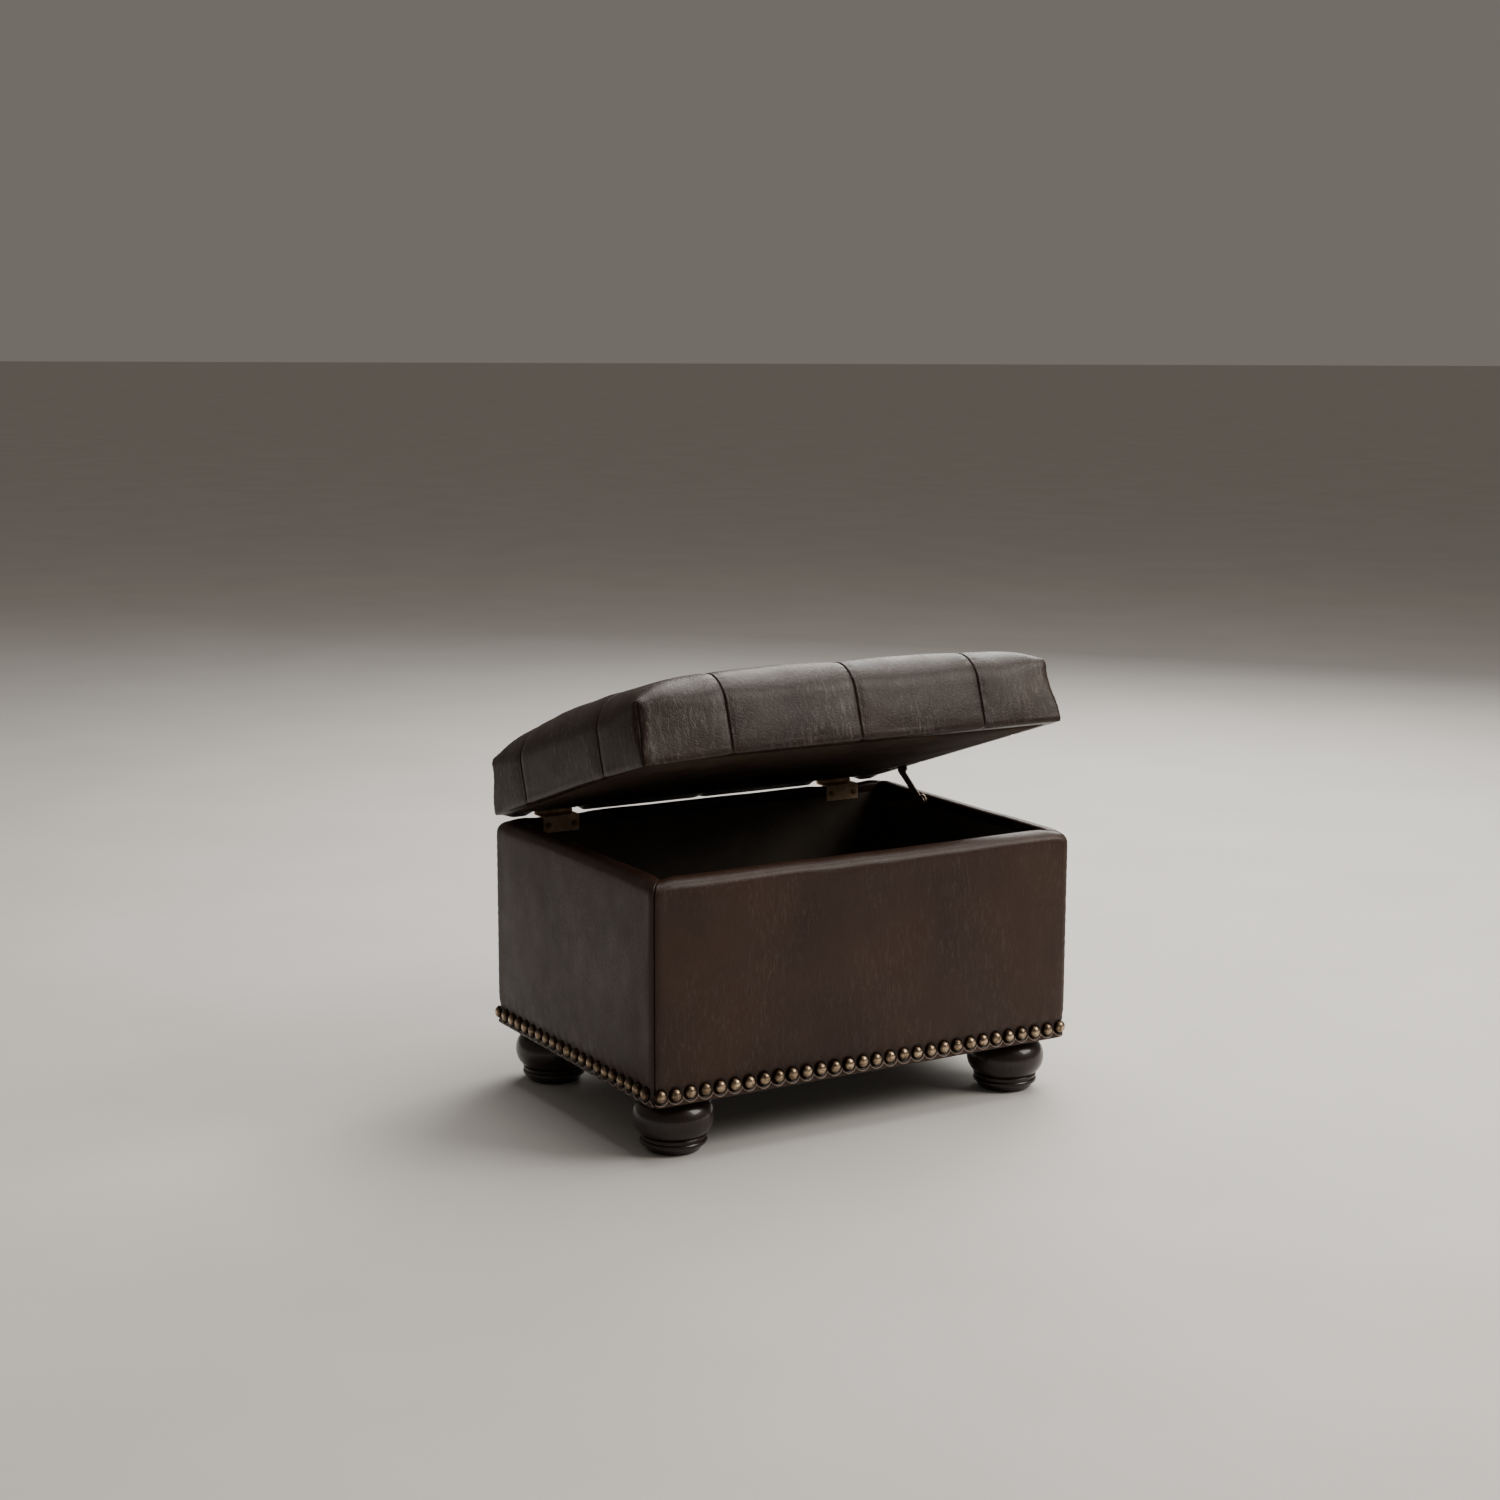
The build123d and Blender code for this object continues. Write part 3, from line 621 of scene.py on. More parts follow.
def wall_relief(side, from_seam, along, height, up, points):
    """How far each point of a panel stands out from the plain wall."""
    face = smooth((RIM_Z - 6 - height) / 20) * smooth((height - HEM_Z - 1) / 4) * (up < 0.5)
    clear = smooth(from_seam / 22)
    relief = 0.6 * drift(points, 190, 11) * face * clear
    relief += 0.12 * drift(points, 55, 12) * face * clear
    share = np.clip((height - HEM_Z) / (RIM_Z - HEM_Z), 0, 1)
    relief += 1.6 * face * np.sin(np.pi * share) * smooth(from_seam / 70)
    # The sewn corner: a groove with the turned leather standing up on both sides
    relief -= 1.7 * hump(from_seam, 0.8) + 1.0 * hump(from_seam, 6)
    relief += 0.35 * hump(from_seam - 2.4, 1.2)
    # Small draws across the seam
    draws = np.sin(height * 2 * np.pi / 13 + 2.2 * drift(points, 60, 13))
    relief += 0.22 * draws * hump(from_seam - 4, 6) * face
    # Pulled in at the nails, full below them and between them
    below = height < NAIL_Z
    relief -= 2.1 * hump(height - NAIL_Z, np.where(below, 8.5, 15)) * face
    nearest = from_nearest(along, nail_places(side))
    from_nail = np.hypot(nearest, height - NAIL_Z)
    shown = (up > -0.5) * (height < NAIL_Z + 30)
    relief -= 1.3 * hump(from_nail, 8.5) * shown
    relief += 1.2 * hump(from_nail - 11.2, 2.1) * shown * smooth((NAIL_Z - height) / 4 + 1)
    # Upright puckers that die out above the nails
    pucker = np.cos(nearest * 2 * np.pi / NAIL_PITCH)
    relief -= 0.35 * pucker * hump(np.maximum(height - NAIL_Z - 8, 0), 12) * (~below) * face
    relief += 0.5 * hump(height - HEM_Z - 2, 4) * (np.abs(up) < 0.95)
    # The rim: soft and a little uneven, but flat where the hinges bear on it
    rim = smooth((up - 0.1) / 0.5) * clear
    if side == "back":
        for name in ("left", "right"):
            rim = rim * smooth((beside(points[..., 0], f"hinge_{name}_body_leaf") - 3) / 25)
    relief += rim * (1.6 + 0.35 * drift(points, 110, 14))
    return relief


def side_leather(side):
    """A side's leather panel as a closed shell, from under the hem, over the rim and down inside."""
    inset, height, out, up = (part[:, None] for part in wall_profile())
    half, edge = half_sizes(side)

    def reach(inset):
        """The corner's radius, where the straight ends, and the path from the middle to the seam."""
        radius = np.maximum(CORNER_RADIUS - inset, LEAST_CORNER_RADIUS)
        straight = half - inset - radius
        return radius, straight, straight + radius * np.pi / 4

    outer = float(reach(np.array(0.0))[2])
    columns = lines((-outer, outer), LEATHER_STEP, NEAR_SEAM)
    from_seam = outer - np.abs(columns)[None, :]
    radius, straight, path = reach(inset)
    place = outer - from_seam + (path - outer) * (1 - smooth((from_seam - 12) / 60))
    turn = np.clip((place - straight) / radius, 0, np.pi / 4)
    way = np.sign(columns)[None, :]
    along = way * np.where(turn > 0, straight + radius * np.sin(turn), place)
    deep = inset + radius * (1 - np.cos(turn))
    outward, forward = np.array(OUTWARD[side]), np.array(ALONG[side])
    middle = BODY_MIDDLE * (1, 1, 0)
    points = middle + along[..., None] * forward + (edge - deep)[..., None] * outward
    height = height + 0 * along
    points = points + height[..., None] * UP
    flat_normal = np.cos(turn)[..., None] * outward + (way * np.sin(turn))[..., None] * forward
    normal = out[..., None] * flat_normal + up[..., None] * UP
    relief = wall_relief(side, from_seam + 0 * along, along, height, up + 0 * along, points)
    points = points + relief[..., None] * normal
    index = np.arange(along.size).reshape(along.shape)
    points, faces = points.reshape(-1, 3), grid_faces(index)
    obj = piece(side + "_leather", points, faces, BODY_LEATHER, "base")
    turn = (along - nail_places(side)[0]) / NAIL_PITCH + 10.5
    rise = (height - NAIL_Z) / NAIL_PITCH + 50 * (up < -0.5)
    point_values(obj, nail_turn=turn, nail_rise=rise)
    thicken(obj, LEATHER)
    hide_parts(side + "_cover", side + "_padding")
    return obj


# ---- nails

NAIL_SPOKES = 28
# A nail head's section: distance from its axis and height over the leather
NAIL_SECTION = (
    *((0, 6.3), (1.7, 6.15), (3.4, 5.7), (5.0, 4.95), (6.4, 3.9), (7.5, 2.6), (8.2, 1.2), (8.5, 0.2)),
    *((8.5, -0.5), (7.4, -0.8), (4.0, -0.9), (0, -0.9)),
)
NAIL_SINK = 1.3
NAIL_SEED = 200


def nail_row(side, seed):
    """A side's row of nail heads, each seated a little differently."""
    draw = np.random.default_rng(seed)
    outward, forward = np.array(OUTWARD[side], float), np.array(ALONG[side], float)
    edge = half_sizes(side)[1]
    section = np.array(NAIL_SECTION)
    turns = np.linspace(0, 2 * np.pi, NAIL_SPOKES, endpoint=False)
    points, faces, crown, tone = [], [], [], []
    for along in nail_places(side):
        base = len(points)
        tilt = draw.normal(0, 0.035, 2)
        bright = draw.uniform(0.65, 1.15)
        place = BODY_MIDDLE * (1, 1, 0) + (along + draw.normal(0, 0.25)) * forward
        place = place + (edge - NAIL_SINK + draw.normal(0, 0.12)) * outward
        place = place + (NAIL_Z + draw.normal(0, 0.25)) * UP
        for distance, height in section:
            ring = turns if distance else turns[:1]
            for turn in ring:
                u, v = distance * math.cos(turn), distance * math.sin(turn)
                lift = height + tilt[0] * u + tilt[1] * v
                points.append(place + u * forward + v * UP + lift * outward)
                crown.append(max(0.0, height / section[0][1]))
                tone.append(bright)
        rings = len(section) - 2
        first, last = base, base + 1 + rings * NAIL_SPOKES
        for spoke in range(NAIL_SPOKES):
            following = (spoke + 1) % NAIL_SPOKES
            faces.append((first, base + 1 + spoke, base + 1 + following))
            for ring in range(rings - 1):
                near, far = base + 1 + ring * NAIL_SPOKES, base + 1 + (ring + 1) * NAIL_SPOKES
                faces.append((near + spoke, far + spoke, far + following, near + following))
            end = base + 1 + (rings - 1) * NAIL_SPOKES
            faces.append((end + spoke, last, end + following))
    obj = piece("nail_heads_" + side, points, faces, BRASS, "base")
    point_values(obj, crown=crown, tone=tone)
    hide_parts("nails_" + side)
    return obj


# ---- lid cushion: a closed form sewn from panels, 4 by 3 on top

LID_RISE = 2.0
LID_X, LID_Y = (LID_HIGH - LID_LOW)[:2] / 2
LID_TALL = LID_HIGH[2] - LID_LOW[2]
SEAMS_X = (-186.0, 0.0, 186.0)
SEAMS_Y = (-113.5, 113.5)
SIM_STEP = 10
FINE_STEP = 4.6
SHOULDER_RADIUS = 42
CORNER_EDGE_RADIUS = 13
LID_HEM_RADIUS = 5
HEM_BAND = 9
CORNER_DROP = 22.0
LEFT_SAG = 15.0
RIGHT_SAG = 5.0
HEM_SAG = 5.0
END_DROP = 10.0
LEAN = 4.0
SWELL_TOP = 9.0
SWELL_SIDE = 1.5
BLEND_ROWS = 2
BACK_ROLL = 5.0
EASING_ROUNDS = 24


def box_grid(xs, ys, zs):
    """Points on a box's surface at grid lines, its quads facing out, and each face's point numbers."""
    shapes = {
        "top": (xs, ys, lambda u, v: (u, v, zs[-1]), False),
        "bottom": (xs, ys, lambda u, v: (u, v, zs[0]), True),
        "front": (xs, zs, lambda u, v: (u, ys[0], v), False),
        "back": (xs, zs, lambda u, v: (u, ys[-1], v), True),
        "left": (ys, zs, lambda u, v: (xs[0], u, v), True),
        "right": (ys, zs, lambda u, v: (xs[-1], u, v), False),
    }
    sheets, sizes = [], []
    for across, up, place, _ in shapes.values():
        u, v = np.meshgrid(across, up, indexing="ij")
        sheets.append(np.stack([part + 0 * u for part in place(u, v)], axis=-1).reshape(-1, 3))
        sizes.append(u.shape)
    points, number = np.unique(np.round(np.concatenate(sheets), 5), axis=0, return_inverse=True)
    number, start, patches, faces = number.ravel(), 0, {}, []
    for (name, shape), size in zip(shapes.items(), sizes):
        count = size[0] * size[1]
        patches[name] = number[start : start + count].reshape(size)
        faces.append(grid_faces(patches[name], shape[3]))
        start += count
    return points, np.concatenate(faces), patches


def cushion_form(places):
    """The cushion before it swells, from places on the surface of its box."""
    x, y, z = places.T
    rise = z / LID_TALL
    from_corner = np.maximum(LID_X - np.abs(x), LID_Y - np.abs(y))
    shoulder = CORNER_EDGE_RADIUS + (SHOULDER_RADIUS - CORNER_EDGE_RADIUS) * smooth(from_corner / 95)
    radius = LID_HEM_RADIUS + (shoulder - LID_HEM_RADIUS) * smooth((rise - 0.2) / 0.45)
    half = np.array((LID_X, LID_Y, LID_TALL / 2))
    centred = places - UP * (LID_TALL / 2)
    core = np.clip(centred, -(half - radius[:, None]), half - radius[:, None])
    form = core + unit(centred - core) * radius[:, None] + UP * (LID_TALL / 2)
    u, v = np.abs(form[:, 0]) / LID_X, np.abs(form[:, 1]) / LID_Y
    drop = END_DROP * u**8 - (END_DROP - CORNER_DROP) * (u * v) ** 6
    drop += np.where(x < 0, LEFT_SAG, RIGHT_SAG) * np.clip((u - 0.6) / 0.4, 0, 1) ** 1.3 * v**2
    form[:, 2] *= 1 - (drop - LID_RISE) / LID_TALL
    lean = LEAN * smooth(1 - from_corner / 110) * smooth(form[:, 2] / 80)
    form[:, 0] -= np.sign(x) * lean * smooth((np.abs(x) - LID_X + 60) / 60)
    form[:, 1] -= np.sign(y) * lean * smooth((np.abs(y) - LID_Y + 60) / 60)
    return form


SWELLING_STEPS = 20
SWELLING = {"quality": 6, "mass": 0.3, "tension_stiffness": 12, "compression_stiffness": 12}
SWELLING |= {"shear_stiffness": 5, "bending_stiffness": 8, "shrink_min": -0.004}
SWELLING |= {"use_pressure": True, "uniform_pressure_force": 4}


def swollen(points, faces, held):
    """Where cloth of that form goes when it is blown up with some of its points held."""
    obj = new_object("swelling", new_mesh("swelling", points, faces))
    group = obj.vertex_groups.new(name="held")
    group.add([int(i) for i in np.nonzero(held)[0]], 1.0, "REPLACE")
    modifier = obj.modifiers.new("cloth", "CLOTH")
    settings = modifier.settings
    for key, value in SWELLING.items():
        setattr(settings, key, value)
    settings.vertex_group_mass = "held"
    settings.effector_weights.gravity = 0
    modifier.point_cache.frame_start, modifier.point_cache.frame_end = 1, SWELLING_STEPS
    for step in range(1, SWELLING_STEPS + 1):
        bpy.context.scene.frame_set(step)
    shape = obj.evaluated_get(bpy.context.evaluated_depsgraph_get()).data
    moved = np.array([vertex.co for vertex in shape.vertices]) / MM
    bpy.context.scene.frame_set(1)
    bpy.data.objects.remove(obj)
    return moved


def eased(swell, faces, held, rounds):
    """The swelling with its small creases smoothed out, the held points staying put."""
    pairs = np.concatenate([faces[:, [a, (a + 1) % 4]] for a in range(4)])
    count = np.bincount(pairs[:, 0], minlength=len(swell))[:, None]
    for _ in range(rounds):
        total = np.zeros_like(swell)
        np.add.at(total, pairs[:, 0], swell[pairs[:, 1]])
        swell = np.where(held[:, None], 0, 0.4 * swell + 0.6 * total / count)
    return swell


def spline_weights(nodes, stops, places):
    """Weights that carry values from nodes to places, smooth between the stops and creased at them."""
    weights = np.zeros((len(places), len(nodes)))
    marks = [int(np.abs(nodes - stop).argmin()) for stop in stops]
    for first, last in zip(marks, marks[1:]):
        part = slice(first, last + 1)
        known = nodes[part]
        slopes = np.gradient(np.eye(len(known)), known, axis=0)
        inside = np.nonzero((places >= known[0] - 1e-6) & (places <= known[-1] + 1e-6))[0]
        step = np.clip(np.searchsorted(known, places[inside], side="right") - 1, 0, len(known) - 2)
        gap = known[step + 1] - known[step]
        t = np.clip((places[inside] - known[step]) / gap, 0, 1)
        rows = np.zeros((len(inside), len(known)))
        row = np.arange(len(inside))
        rows[row, step] += 2 * t**3 - 3 * t**2 + 1
        rows[row, step + 1] += -2 * t**3 + 3 * t**2
        rows += ((t**3 - 2 * t**2 + t) * gap)[:, None] * slopes[step]
        rows += ((t**3 - t**2) * gap)[:, None] * slopes[step + 1]
        weights[np.ix_(inside, range(first, last + 1))] = rows
    return weights


def carried(swell, coarse, fine, patches, fine_patches):
    """The swelling of the coarse form carried over to the fine one, face by face."""
    (xs, ys, zs), (fine_xs, fine_ys, fine_zs) = coarse, fine
    found = np.zeros((max(p.max() for p in fine_patches.values()) + 1, 3))
    grids = {name: swell[index] for name, index in patches.items()}
    k = BLEND_ROWS
    above = zs[-1] + (ys[1 : 1 + k] - ys[0])
    beyond = zs[-1] + (xs[1 : 1 + k] - xs[0])
    fall = zs[-1] - zs[-1 - k : -1]

    def fill(name, grid, us, vs, stops_u, stops_v, to_u, to_v):
        wu = spline_weights(us, stops_u, to_u)
        wv = spline_weights(vs, stops_v, to_v)
        found[fine_patches[name]] = np.einsum("iu,uvc,jv->ijc", wu, grid, wv)

    top = grids["top"]
    along_x = (xs, above, (xs[0], *SEAMS_X, xs[-1]), fine_xs)
    along_y = (ys, beyond, (ys[0], *SEAMS_Y, ys[-1]), fine_ys)
    strips = {
        "front": (top[:, 1 : 1 + k], *along_x),
        "back": (top[:, -2 : -2 - k : -1], *along_x),
        "left": (top[1 : 1 + k].swapaxes(0, 1), *along_y),
        "right": (top[-2 : -2 - k : -1].swapaxes(0, 1), *along_y),
    }
    for name, (strip, us, extra, stops, to_u) in strips.items():
        grid = np.concatenate([grids[name], strip], axis=1)
        vs = np.concatenate([zs, extra])
        fill(name, grid, us, vs, stops, (vs[0], vs[-1]), to_u, fine_zs)
    wide = np.zeros((len(xs) + 2 * k, len(ys) + 2 * k, 3))
    wide[k:-k, k:-k] = top
    wide[k:-k, :k] = grids["front"][:, -1 - k : -1]
    wide[k:-k, -k:] = grids["back"][:, -1 - k : -1][:, ::-1]
    wide[:k, k:-k] = grids["left"][:, -1 - k : -1].swapaxes(0, 1)
    wide[-k:, k:-k] = grids["right"][:, -1 - k : -1].swapaxes(0, 1)[::-1]
    us = np.concatenate([xs[0] - fall, xs, xs[-1] + fall[::-1]])
    vs = np.concatenate([ys[0] - fall, ys, ys[-1] + fall[::-1]])
    fill("top", wide, us, vs, (us[0], *SEAMS_X, us[-1]), (vs[0], *SEAMS_Y, vs[-1]), fine_xs, fine_ys)
    return found


def cushion_relief(places, form):
    """Grooves at the seams, the lapped edge beside them, and the leather's draws and wrinkles."""
    x, y, z = places.T
    side_x, side_y = LID_X - np.abs(x) < 0.01, LID_Y - np.abs(y) < 0.01
    low = z < 0.01
    groove = np.zeros(len(places))
    lap = np.zeros(len(places))
    draw = np.zeros(len(places))
    for value, other, seams, off in ((x, y, SEAMS_X, side_x), (y, x, SEAMS_Y, side_y)):
        for number, seam in enumerate(seams):
            far = np.where(off | low, 1e3, np.abs(value - seam))
            groove = np.maximum(groove, 1.7 * hump(far, 0.85) + 1.0 * hump(far, 6.5))
            lap = np.maximum(lap, hump(np.where(off | low, 1e3, value - seam) - 2.3, 1.1))
            phase = 3.0 * drift(form, 50, 31 + number)
            draw += np.sin((other + z) * 2 * np.pi / 17 + phase) * hump(far - 5, 7)
    edge = np.where(side_y, LID_X - np.abs(x), 1e3)
    edge = np.where(side_x, LID_Y - np.abs(y), edge)
    edge = np.where(side_x & side_y, 0, edge)
    groove = np.maximum(groove, 1.5 * hump(edge, 0.9) + 0.9 * hump(edge, 6))
    draw += 0.9 * np.sin(z * 2 * np.pi / 14 + 2.5 * drift(form, 45, 41)) * hump(edge - 5, 7)
    relief = -groove + 0.45 * lap + 0.2 * draw * ~low
    quiet = ~low * smooth((z - 3) / 12)
    relief += (0.10 * drift(form, 40, 51) + 0.45 * drift(form, 120, 52)) * quiet * smooth(edge / 15)
    return relief


def corner_ears(places, form):
    """The four top corners are drawn out into small ears by the sewing."""
    shift = np.zeros_like(form)
    for sx in (-1, 1):
        for sy in (-1, 1):
            corner = form[np.argmin(np.linalg.norm(places - (sx * LID_X, sy * LID_Y, LID_TALL), axis=1))]
            near = np.linalg.norm(form - corner, axis=1)
            shift += (hump(near, 9) * 3.2)[:, None] * np.array((sx * 0.62, sy * 0.62, 0.55))
    return shift


def on_seams(values, seams, half):
    """Which places lie on a seam that runs across the cushion, away from its outline."""
    return (from_nearest(values, seams) < 0.01) & (np.abs(values) < half - 1)


def lid_cushion():
    """The lid's leather, swollen over its foam between the seams."""
    xs = lines((-LID_X, *SEAMS_X, LID_X), SIM_STEP)
    ys = lines((-LID_Y, *SEAMS_Y, LID_Y), SIM_STEP)
    zs = lines((0, LID_TALL), SIM_STEP)
    places, faces, patches = box_grid(xs, ys, zs)
    form = cushion_form(places)
    on_x = on_seams(places[:, 0], SEAMS_X, LID_X)
    on_y = on_seams(places[:, 1], SEAMS_Y, LID_Y)
    on_corner = (LID_X - np.abs(places[:, 0]) < 0.01) & (LID_Y - np.abs(places[:, 1]) < 0.01)
    held = on_x | on_y | on_corner | (places[:, 2] <= HEM_BAND + 2)
    moved = swollen(form, faces, held)
    swell = eased(moved - form, faces, held, EASING_ROUNDS)
    most = np.array((SWELL_SIDE, SWELL_SIDE, SWELL_TOP))
    swell = most * np.tanh(swell / most)
    close = (0.6, 1.2, 2.0, 3.2, 5.0, 7.5)
    fine_xs = lines((-LID_X, *SEAMS_X, LID_X), FINE_STEP, close)
    fine_ys = lines((-LID_Y, *SEAMS_Y, LID_Y), FINE_STEP, close)
    fine_zs = lines((0, LID_TALL), FINE_STEP)
    fine_places, fine_faces, fine_patches = box_grid(fine_xs, fine_ys, fine_zs)
    shape = cushion_form(fine_places)
    shape += carried(swell, (xs, ys, zs), (fine_xs, fine_ys, fine_zs), patches, fine_patches)
    shape += corner_ears(fine_places, shape)
    shape += normals(shape, fine_faces) * cushion_relief(fine_places, shape)[:, None]
    # The underside is nearly flat, clear of the hinge leaves, and its hem is drawn up at the seams
    x, y, z = fine_places.T
    at_seam = np.maximum(
        hump(from_nearest(x, SEAMS_X), 5) * (np.abs(y) > LID_Y - 12),
        hump(from_nearest(y, SEAMS_Y), 5) * (np.abs(x) > LID_X - 12),
    )
    hem = smooth(1 - shape[:, 2] / 16)
    shape[:, 2] += hem * (1.6 * at_seam + 0.5 + 0.5 * drift(fine_places, 70, 61) * (z > 0.01))
    # The front left corner of the hem hangs lower, past the round of the rim
    outer = smooth((np.maximum(np.abs(x) - LID_X, np.abs(y) - LID_Y) + 12) / 12)
    shape[:, 2] -= HEM_SAG * hem * outer * smooth((-x - 120) / 190) * smooth((-y - 30) / 190)
    # A soft roll along the back hem fills the gap over the rim, between the hinges
    from_pin = np.full(len(x), 1e3)
    for name in ("left", "right"):
        from_pin = np.minimum(from_pin, beside(x, f"hinge_{name}_pin"))
    roll = hump(np.maximum(LID_Y - 7 - shape[:, 1], 0), 5)
    roll *= smooth((from_pin - 2) / 16) * smooth((LID_X - 8 - np.abs(x)) / 20)
    shape[:, 2] -= BACK_ROLL * roll * smooth(1 - shape[:, 2] / 22)
    middle = np.array((LID_MIDDLE[0], LID_MIDDLE[1], LID_LOW[2]))
    obj = piece("lid_cushion", ajar(shape + middle), fine_faces, LID_LEATHER, "lid")
    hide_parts("lid_cover", "lid_foam")
    return obj


# ---- cloth under the lid, in the compartment and under the body

LINER_GAP = 0.25


def cut_sheet(low, high, cuts, step):
    """A flat grid over a rectangle, with rectangles cut out of it; points, faces and flat area."""

    def stops(axis):
        edges = [cut[end][axis] for cut in cuts for end in (0, 1)]
        edges = [float(edge) for edge in np.clip(edges, low[axis], high[axis])]
        return sorted({low[axis], high[axis], *edges})

    us, vs = (lines(stops(axis), step) for axis in (0, 1))
    u, v = np.meshgrid(us, vs, indexing="ij")
    index = np.arange(u.size).reshape(u.shape)
    faces = grid_faces(index)
    flat = np.stack([u.ravel(), v.ravel()], axis=1)
    middles = flat[faces].mean(1)
    kept = np.ones(len(faces), bool)
    for cut_low, cut_high in cuts:
        kept &= ~((middles > cut_low[:2]) & (middles < cut_high[:2])).all(1)
    area = (high[0] - low[0]) * (high[1] - low[1])
    for cut_low, cut_high in cuts:
        size = np.minimum(cut_high, high)[:2] - np.maximum(cut_low, low)[:2]
        area -= size[0] * size[1]
    return *used_part(flat, faces[kept]), area


def at_height(flat, height):
    """Flat points, given their heights."""
    return np.column_stack([flat, height + np.zeros(len(flat))])


def from_rectangles(flat, rectangles):
    """How far each point is outside the nearest of some rectangles."""
    far = np.full(len(flat), 1e3)
    for low, high in rectangles:
        outside = np.maximum(np.maximum(low[:2] - flat, flat - high[:2]), 0)
        far = np.minimum(far, np.linalg.norm(outside, axis=1))
    return far


def lid_liner():
    """The cloth panel under the lid, cut round the hinge leaves and the stay's bracket."""
    low, high = shut_span("lid_liner")
    cuts = []
    for node in ("hinge_left_lid_leaf", "hinge_right_lid_leaf", "stay_lid_bracket"):
        cut_low, cut_high = shut_span(node)
        cuts.append((cut_low - LINER_GAP, cut_high + LINER_GAP))
    cuts = [(a, b) for a, b in cuts if a[1] < high[1]]
    flat, faces, area = cut_sheet(low, high, cuts, 6)
    inside = np.minimum(flat - low[:2], high[:2] - flat).min(1)
    clear = smooth(from_rectangles(flat, cuts) / 30) * smooth(inside / 25)
    places = at_height(flat, 0)
    across = np.sin(flat[:, 1] * 2 * np.pi / 34 + 2.4 * drift(places, 120, 71))
    across *= smooth(drift(places, 150, 72) + 0.6)
    along = np.sin(flat[:, 0] * 2 * np.pi / 46 + 2.2 * drift(places, 130, 73))
    along *= smooth(drift(places, 160, 74) + 0.4)
    height = low[2] + 2.0 * hump(inside, 5) - clear * (0.55 * across + 0.45 * along + 0.5)
    points = ajar(at_height(flat, height))
    obj = piece("lid_liner_cloth", points, faces[:, ::-1], LINER_CLOTH, "lid")
    thicken(obj, 1.0)
    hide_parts("lid_liner")
    return obj


def compartment_lining():
    """Black cloth over the floor and walls of the compartment, eased into its corners."""
    thickness, corner = 1.5, 4.0
    low, high = span("compartment_lining")
    low, high = low + (thickness, thickness, thickness), high - (thickness, thickness, 0)
    xs, ys, zs = (lines((low[axis], high[axis]), 8) for axis in range(3))
    places, faces, patches = box_grid(xs, ys, zs)
    turned = {"bottom": False, "front": True, "back": False, "left": False, "right": True}
    faces = np.concatenate([grid_faces(patches[name], flip) for name, flip in turned.items()])
    places, faces = used_part(places, faces)
    middle, half = (low + high) / 2, (high - low) / 2
    core = np.clip(places, low + corner, np.array((high[0] - corner, high[1] - corner, np.inf)))
    way = unit(places - core)
    points = core + way * corner
    from_edge = np.sort(half[None, :] - np.abs(places - middle), axis=1)[:, 1]
    quiet = smooth(from_edge / 30) * smooth((high[2] - places[:, 2]) / 30)
    for node in ("stay_side_bracket", "stay_side_screws", "hinge_left_body_leaf", "hinge_right_body_leaf"):
        node_low, node_high = span(node)
        outside = np.maximum(np.maximum(node_low - places, places - node_high), 0)
        quiet *= smooth((np.linalg.norm(outside, axis=1) - 6) / 25)
    # The stay folds flat against the right wall, where the cloth is stuck down
    quiet[places[:, 0] > high[0] - 1] = 0
    wrinkle = 0.7 * drift(points, 90, 81) + 0.35 * drift(points, 35, 82) + 0.5
    points -= way * (np.maximum(wrinkle, 0) * quiet)[:, None]
    obj = piece("compartment_lining_cloth", points, faces, LINING_CLOTH, "base")
    thicken(obj, 1.3)
    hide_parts("compartment_lining")
    return obj


def dust_cover():
    """Black non-woven cloth stapled under the body, sagging a little between the feet."""
    low, high = span("dust_cover")
    feet = [span(f"foot_{end}_{side}") for end in ("front", "back") for side in ("left", "right")]
    axes = [((a + b) / 2)[:2] for a, b in feet]
    flat, faces, area = cut_sheet(low, high, [], 6)
    hidden = 32
    middles = flat[faces].mean(1)
    open_cells = np.zeros(len(faces), bool)
    for axis in axes:
        open_cells |= np.linalg.norm(middles - axis, axis=1) < hidden
    flat, faces = used_part(flat, faces[~open_cells])
    inside = np.minimum(flat - low[:2], high[:2] - flat).min(1)
    from_feet = np.min([np.linalg.norm(flat - axis, axis=1) for axis in axes], axis=0)
    free = smooth(inside / 60) * smooth((from_feet - 42) / 60)
    places = at_height(flat, 0)
    sag = free * (2.6 + 0.7 * drift(places, 120, 91)) + 0.25 * drift(places, 26, 92) * smooth(inside / 10)
    sag *= smooth((from_feet - 40) / 8)
    points = at_height(flat, low[2] - sag)
    obj = piece("dust_cover_cloth", points, faces[:, ::-1], DUST_CLOTH, "base")
    thicken(obj, 0.8)
    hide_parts("dust_cover")
    return obj


# ---- camera, light and floor

AZIMUTH = math.radians(-30.71)
ELEVATION = math.radians(9.94)
ROLL = math.radians(0.18)
FOCAL_LENGTH = 59.96
# The camera's place from the middle of the body's foot print
EYE = np.array((-1677, -2746, 1014))

FLOOR_REACH = 60000
FLOOR_COLOURS = ((0.60, 0.585, 0.565), (0.64, 0.625, 0.605))
SURROUNDING_COLOUR = (0.95, 0.86, 0.76, 1)
SURROUNDING_STRENGTH = 0.18
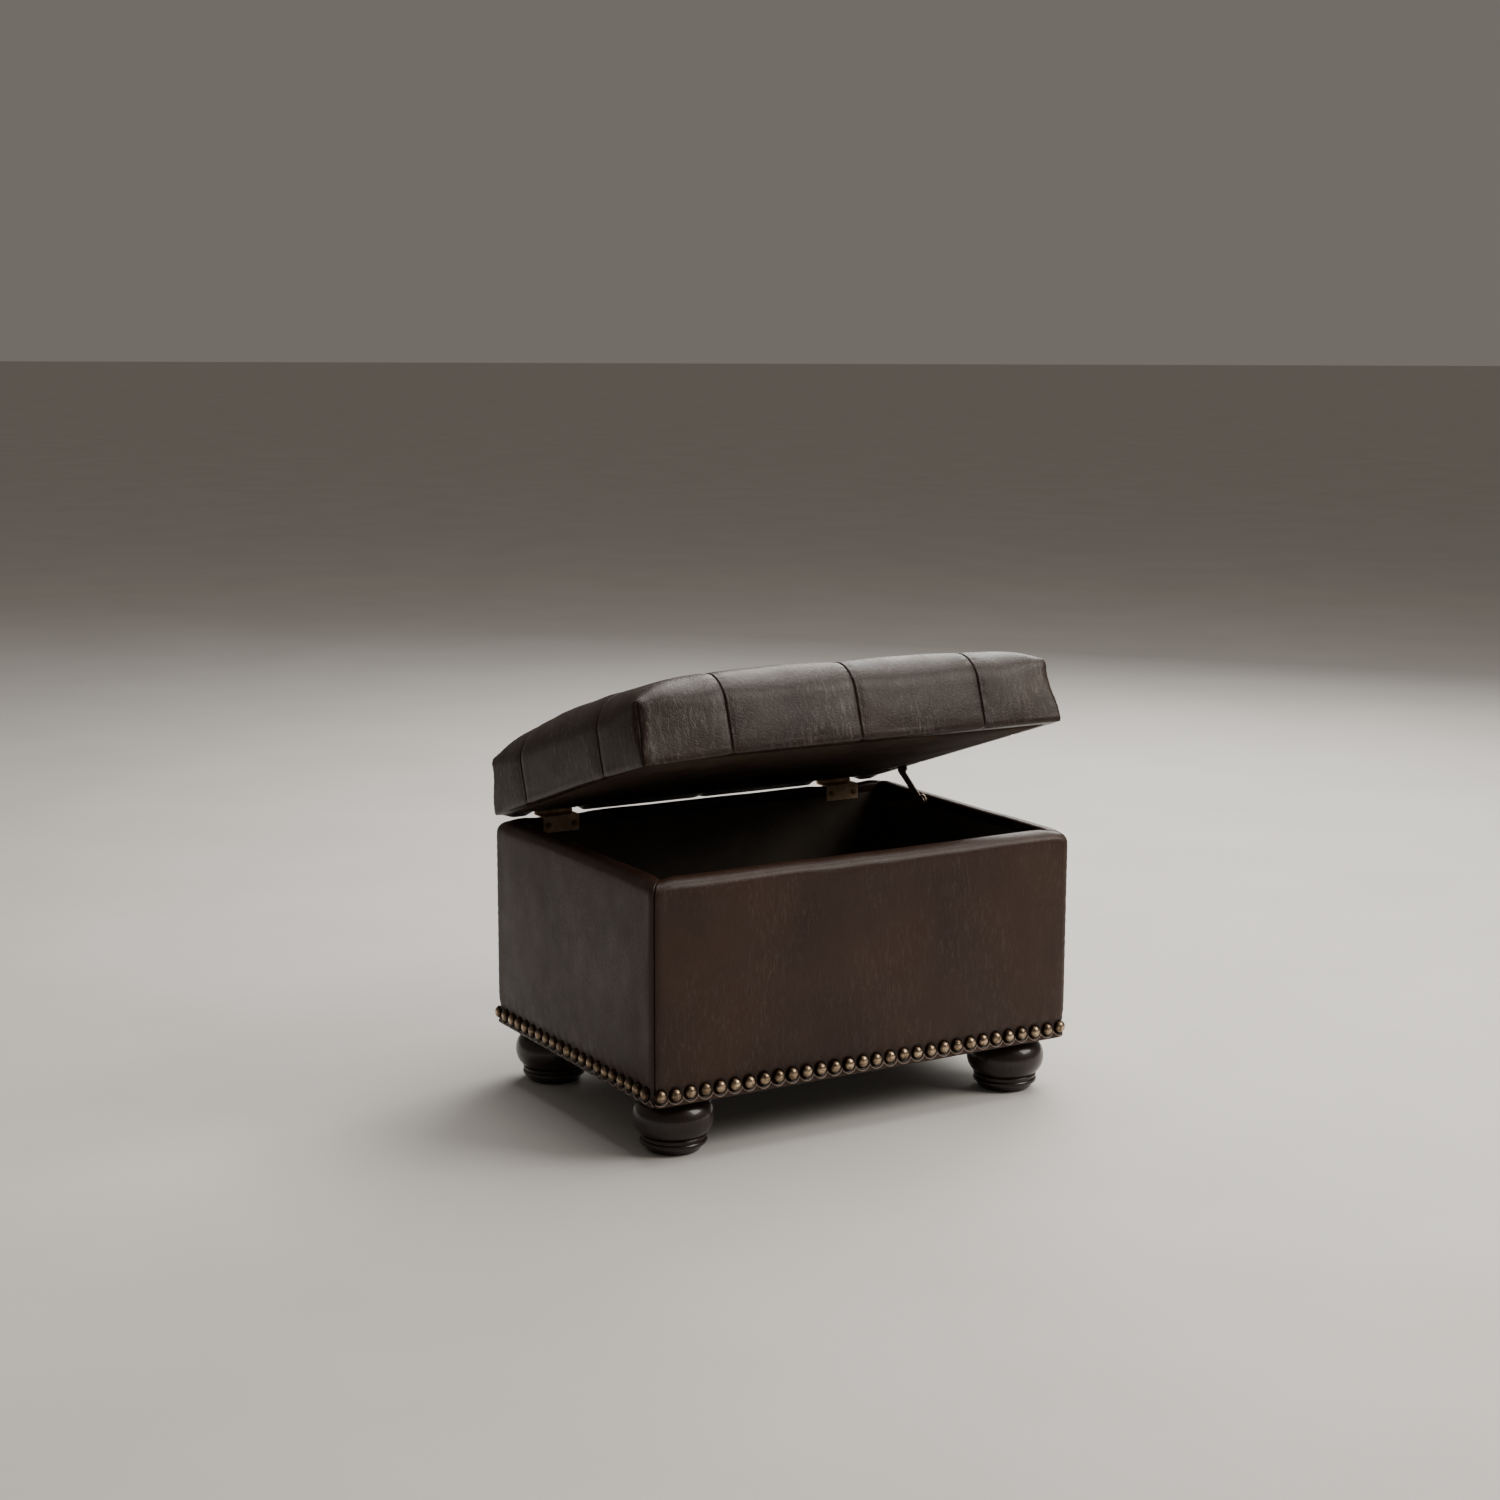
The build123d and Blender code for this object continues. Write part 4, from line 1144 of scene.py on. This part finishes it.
# Each light's name, place and size in metres, power in watts and colour
LIGHTS = (
    ("window", (2.2, 1.8, 2.2), 2.0, 85, (1.0, 0.97, 0.92)),
    ("key", (2.0, -2.0, 2.3), 1.7, 86, (1.0, 0.94, 0.86)),
    ("overhead", (0.7, 0.2, 3.0), 2.4, 95, (1.0, 0.96, 0.91)),
)
LIGHT_AIM = (0, 0, 0.25)


def camera():
    """The camera, with its place, aim and lens solved from the photo."""
    level = math.cos(ELEVATION)
    back = Vector((math.sin(AZIMUTH) * level, -math.cos(AZIMUTH) * level, math.sin(ELEVATION)))
    right = (-back).cross(Vector((0, 0, 1))).normalized()
    up = right.cross(-back)
    cos, sin = math.cos(ROLL), math.sin(ROLL)
    right, up = right * cos + up * sin, up * cos - right * sin
    data = bpy.data.cameras.new("camera")
    data.lens = FOCAL_LENGTH
    data.clip_end = 50
    obj = new_object("camera", data)
    place = Vector((EYE + BODY_MIDDLE * (1, 1, 0)) * MM)
    obj.matrix_world = Matrix.Translation(place) @ Matrix((right, up, back)).transposed().to_4x4()
    bpy.context.scene.camera = obj


def soft_light(name, place, aim, size, power, colour):
    """A square softbox that points at a place."""
    data = bpy.data.lights.new(name, "AREA")
    data.size, data.energy, data.color = size, power, colour
    obj = new_object(name, data)
    obj.location = place
    obj.rotation_euler = (Vector(aim) - Vector(place)).to_track_quat("-Z", "Y").to_euler()


def studio():
    """A plain pale floor, soft light and a pale surrounding."""
    finish = Finish("pale_floor", Specular_IOR_Level=0.2)
    clouds = finish.noise(3, 4, 0.5)
    finish.set("Base Color", finish.mix(finish.range(clouds, 0.3, 0.7), *FLOOR_COLOURS))
    finish.set("Roughness", 0.85)
    corners = np.array(((-1, -1, 0), (1, -1, 0), (1, 1, 0), (-1, 1, 0)))
    floor = new_mesh("floor", FLOOR_REACH * corners, [(0, 1, 2, 3)])
    floor.materials.append(finish.material)
    obj = new_object("floor", floor)
    for name, place, size, power, colour in LIGHTS:
        soft_light(name, place, LIGHT_AIM, size, power, colour)
    world = bpy.context.scene.world or bpy.data.worlds.new("surrounding")
    bpy.context.scene.world = world
    world.use_nodes = True
    background = world.node_tree.nodes["Background"]
    background.inputs["Color"].default_value = SURROUNDING_COLOUR
    background.inputs["Strength"].default_value = SURROUNDING_STRENGTH


camera()
studio()
finish_cad_nodes()
for number, side in enumerate(SIDES):
    side_leather(side)
    nail_row(side, NAIL_SEED + number)
lid_cushion()
lid_liner()
compartment_lining()
dust_cover()
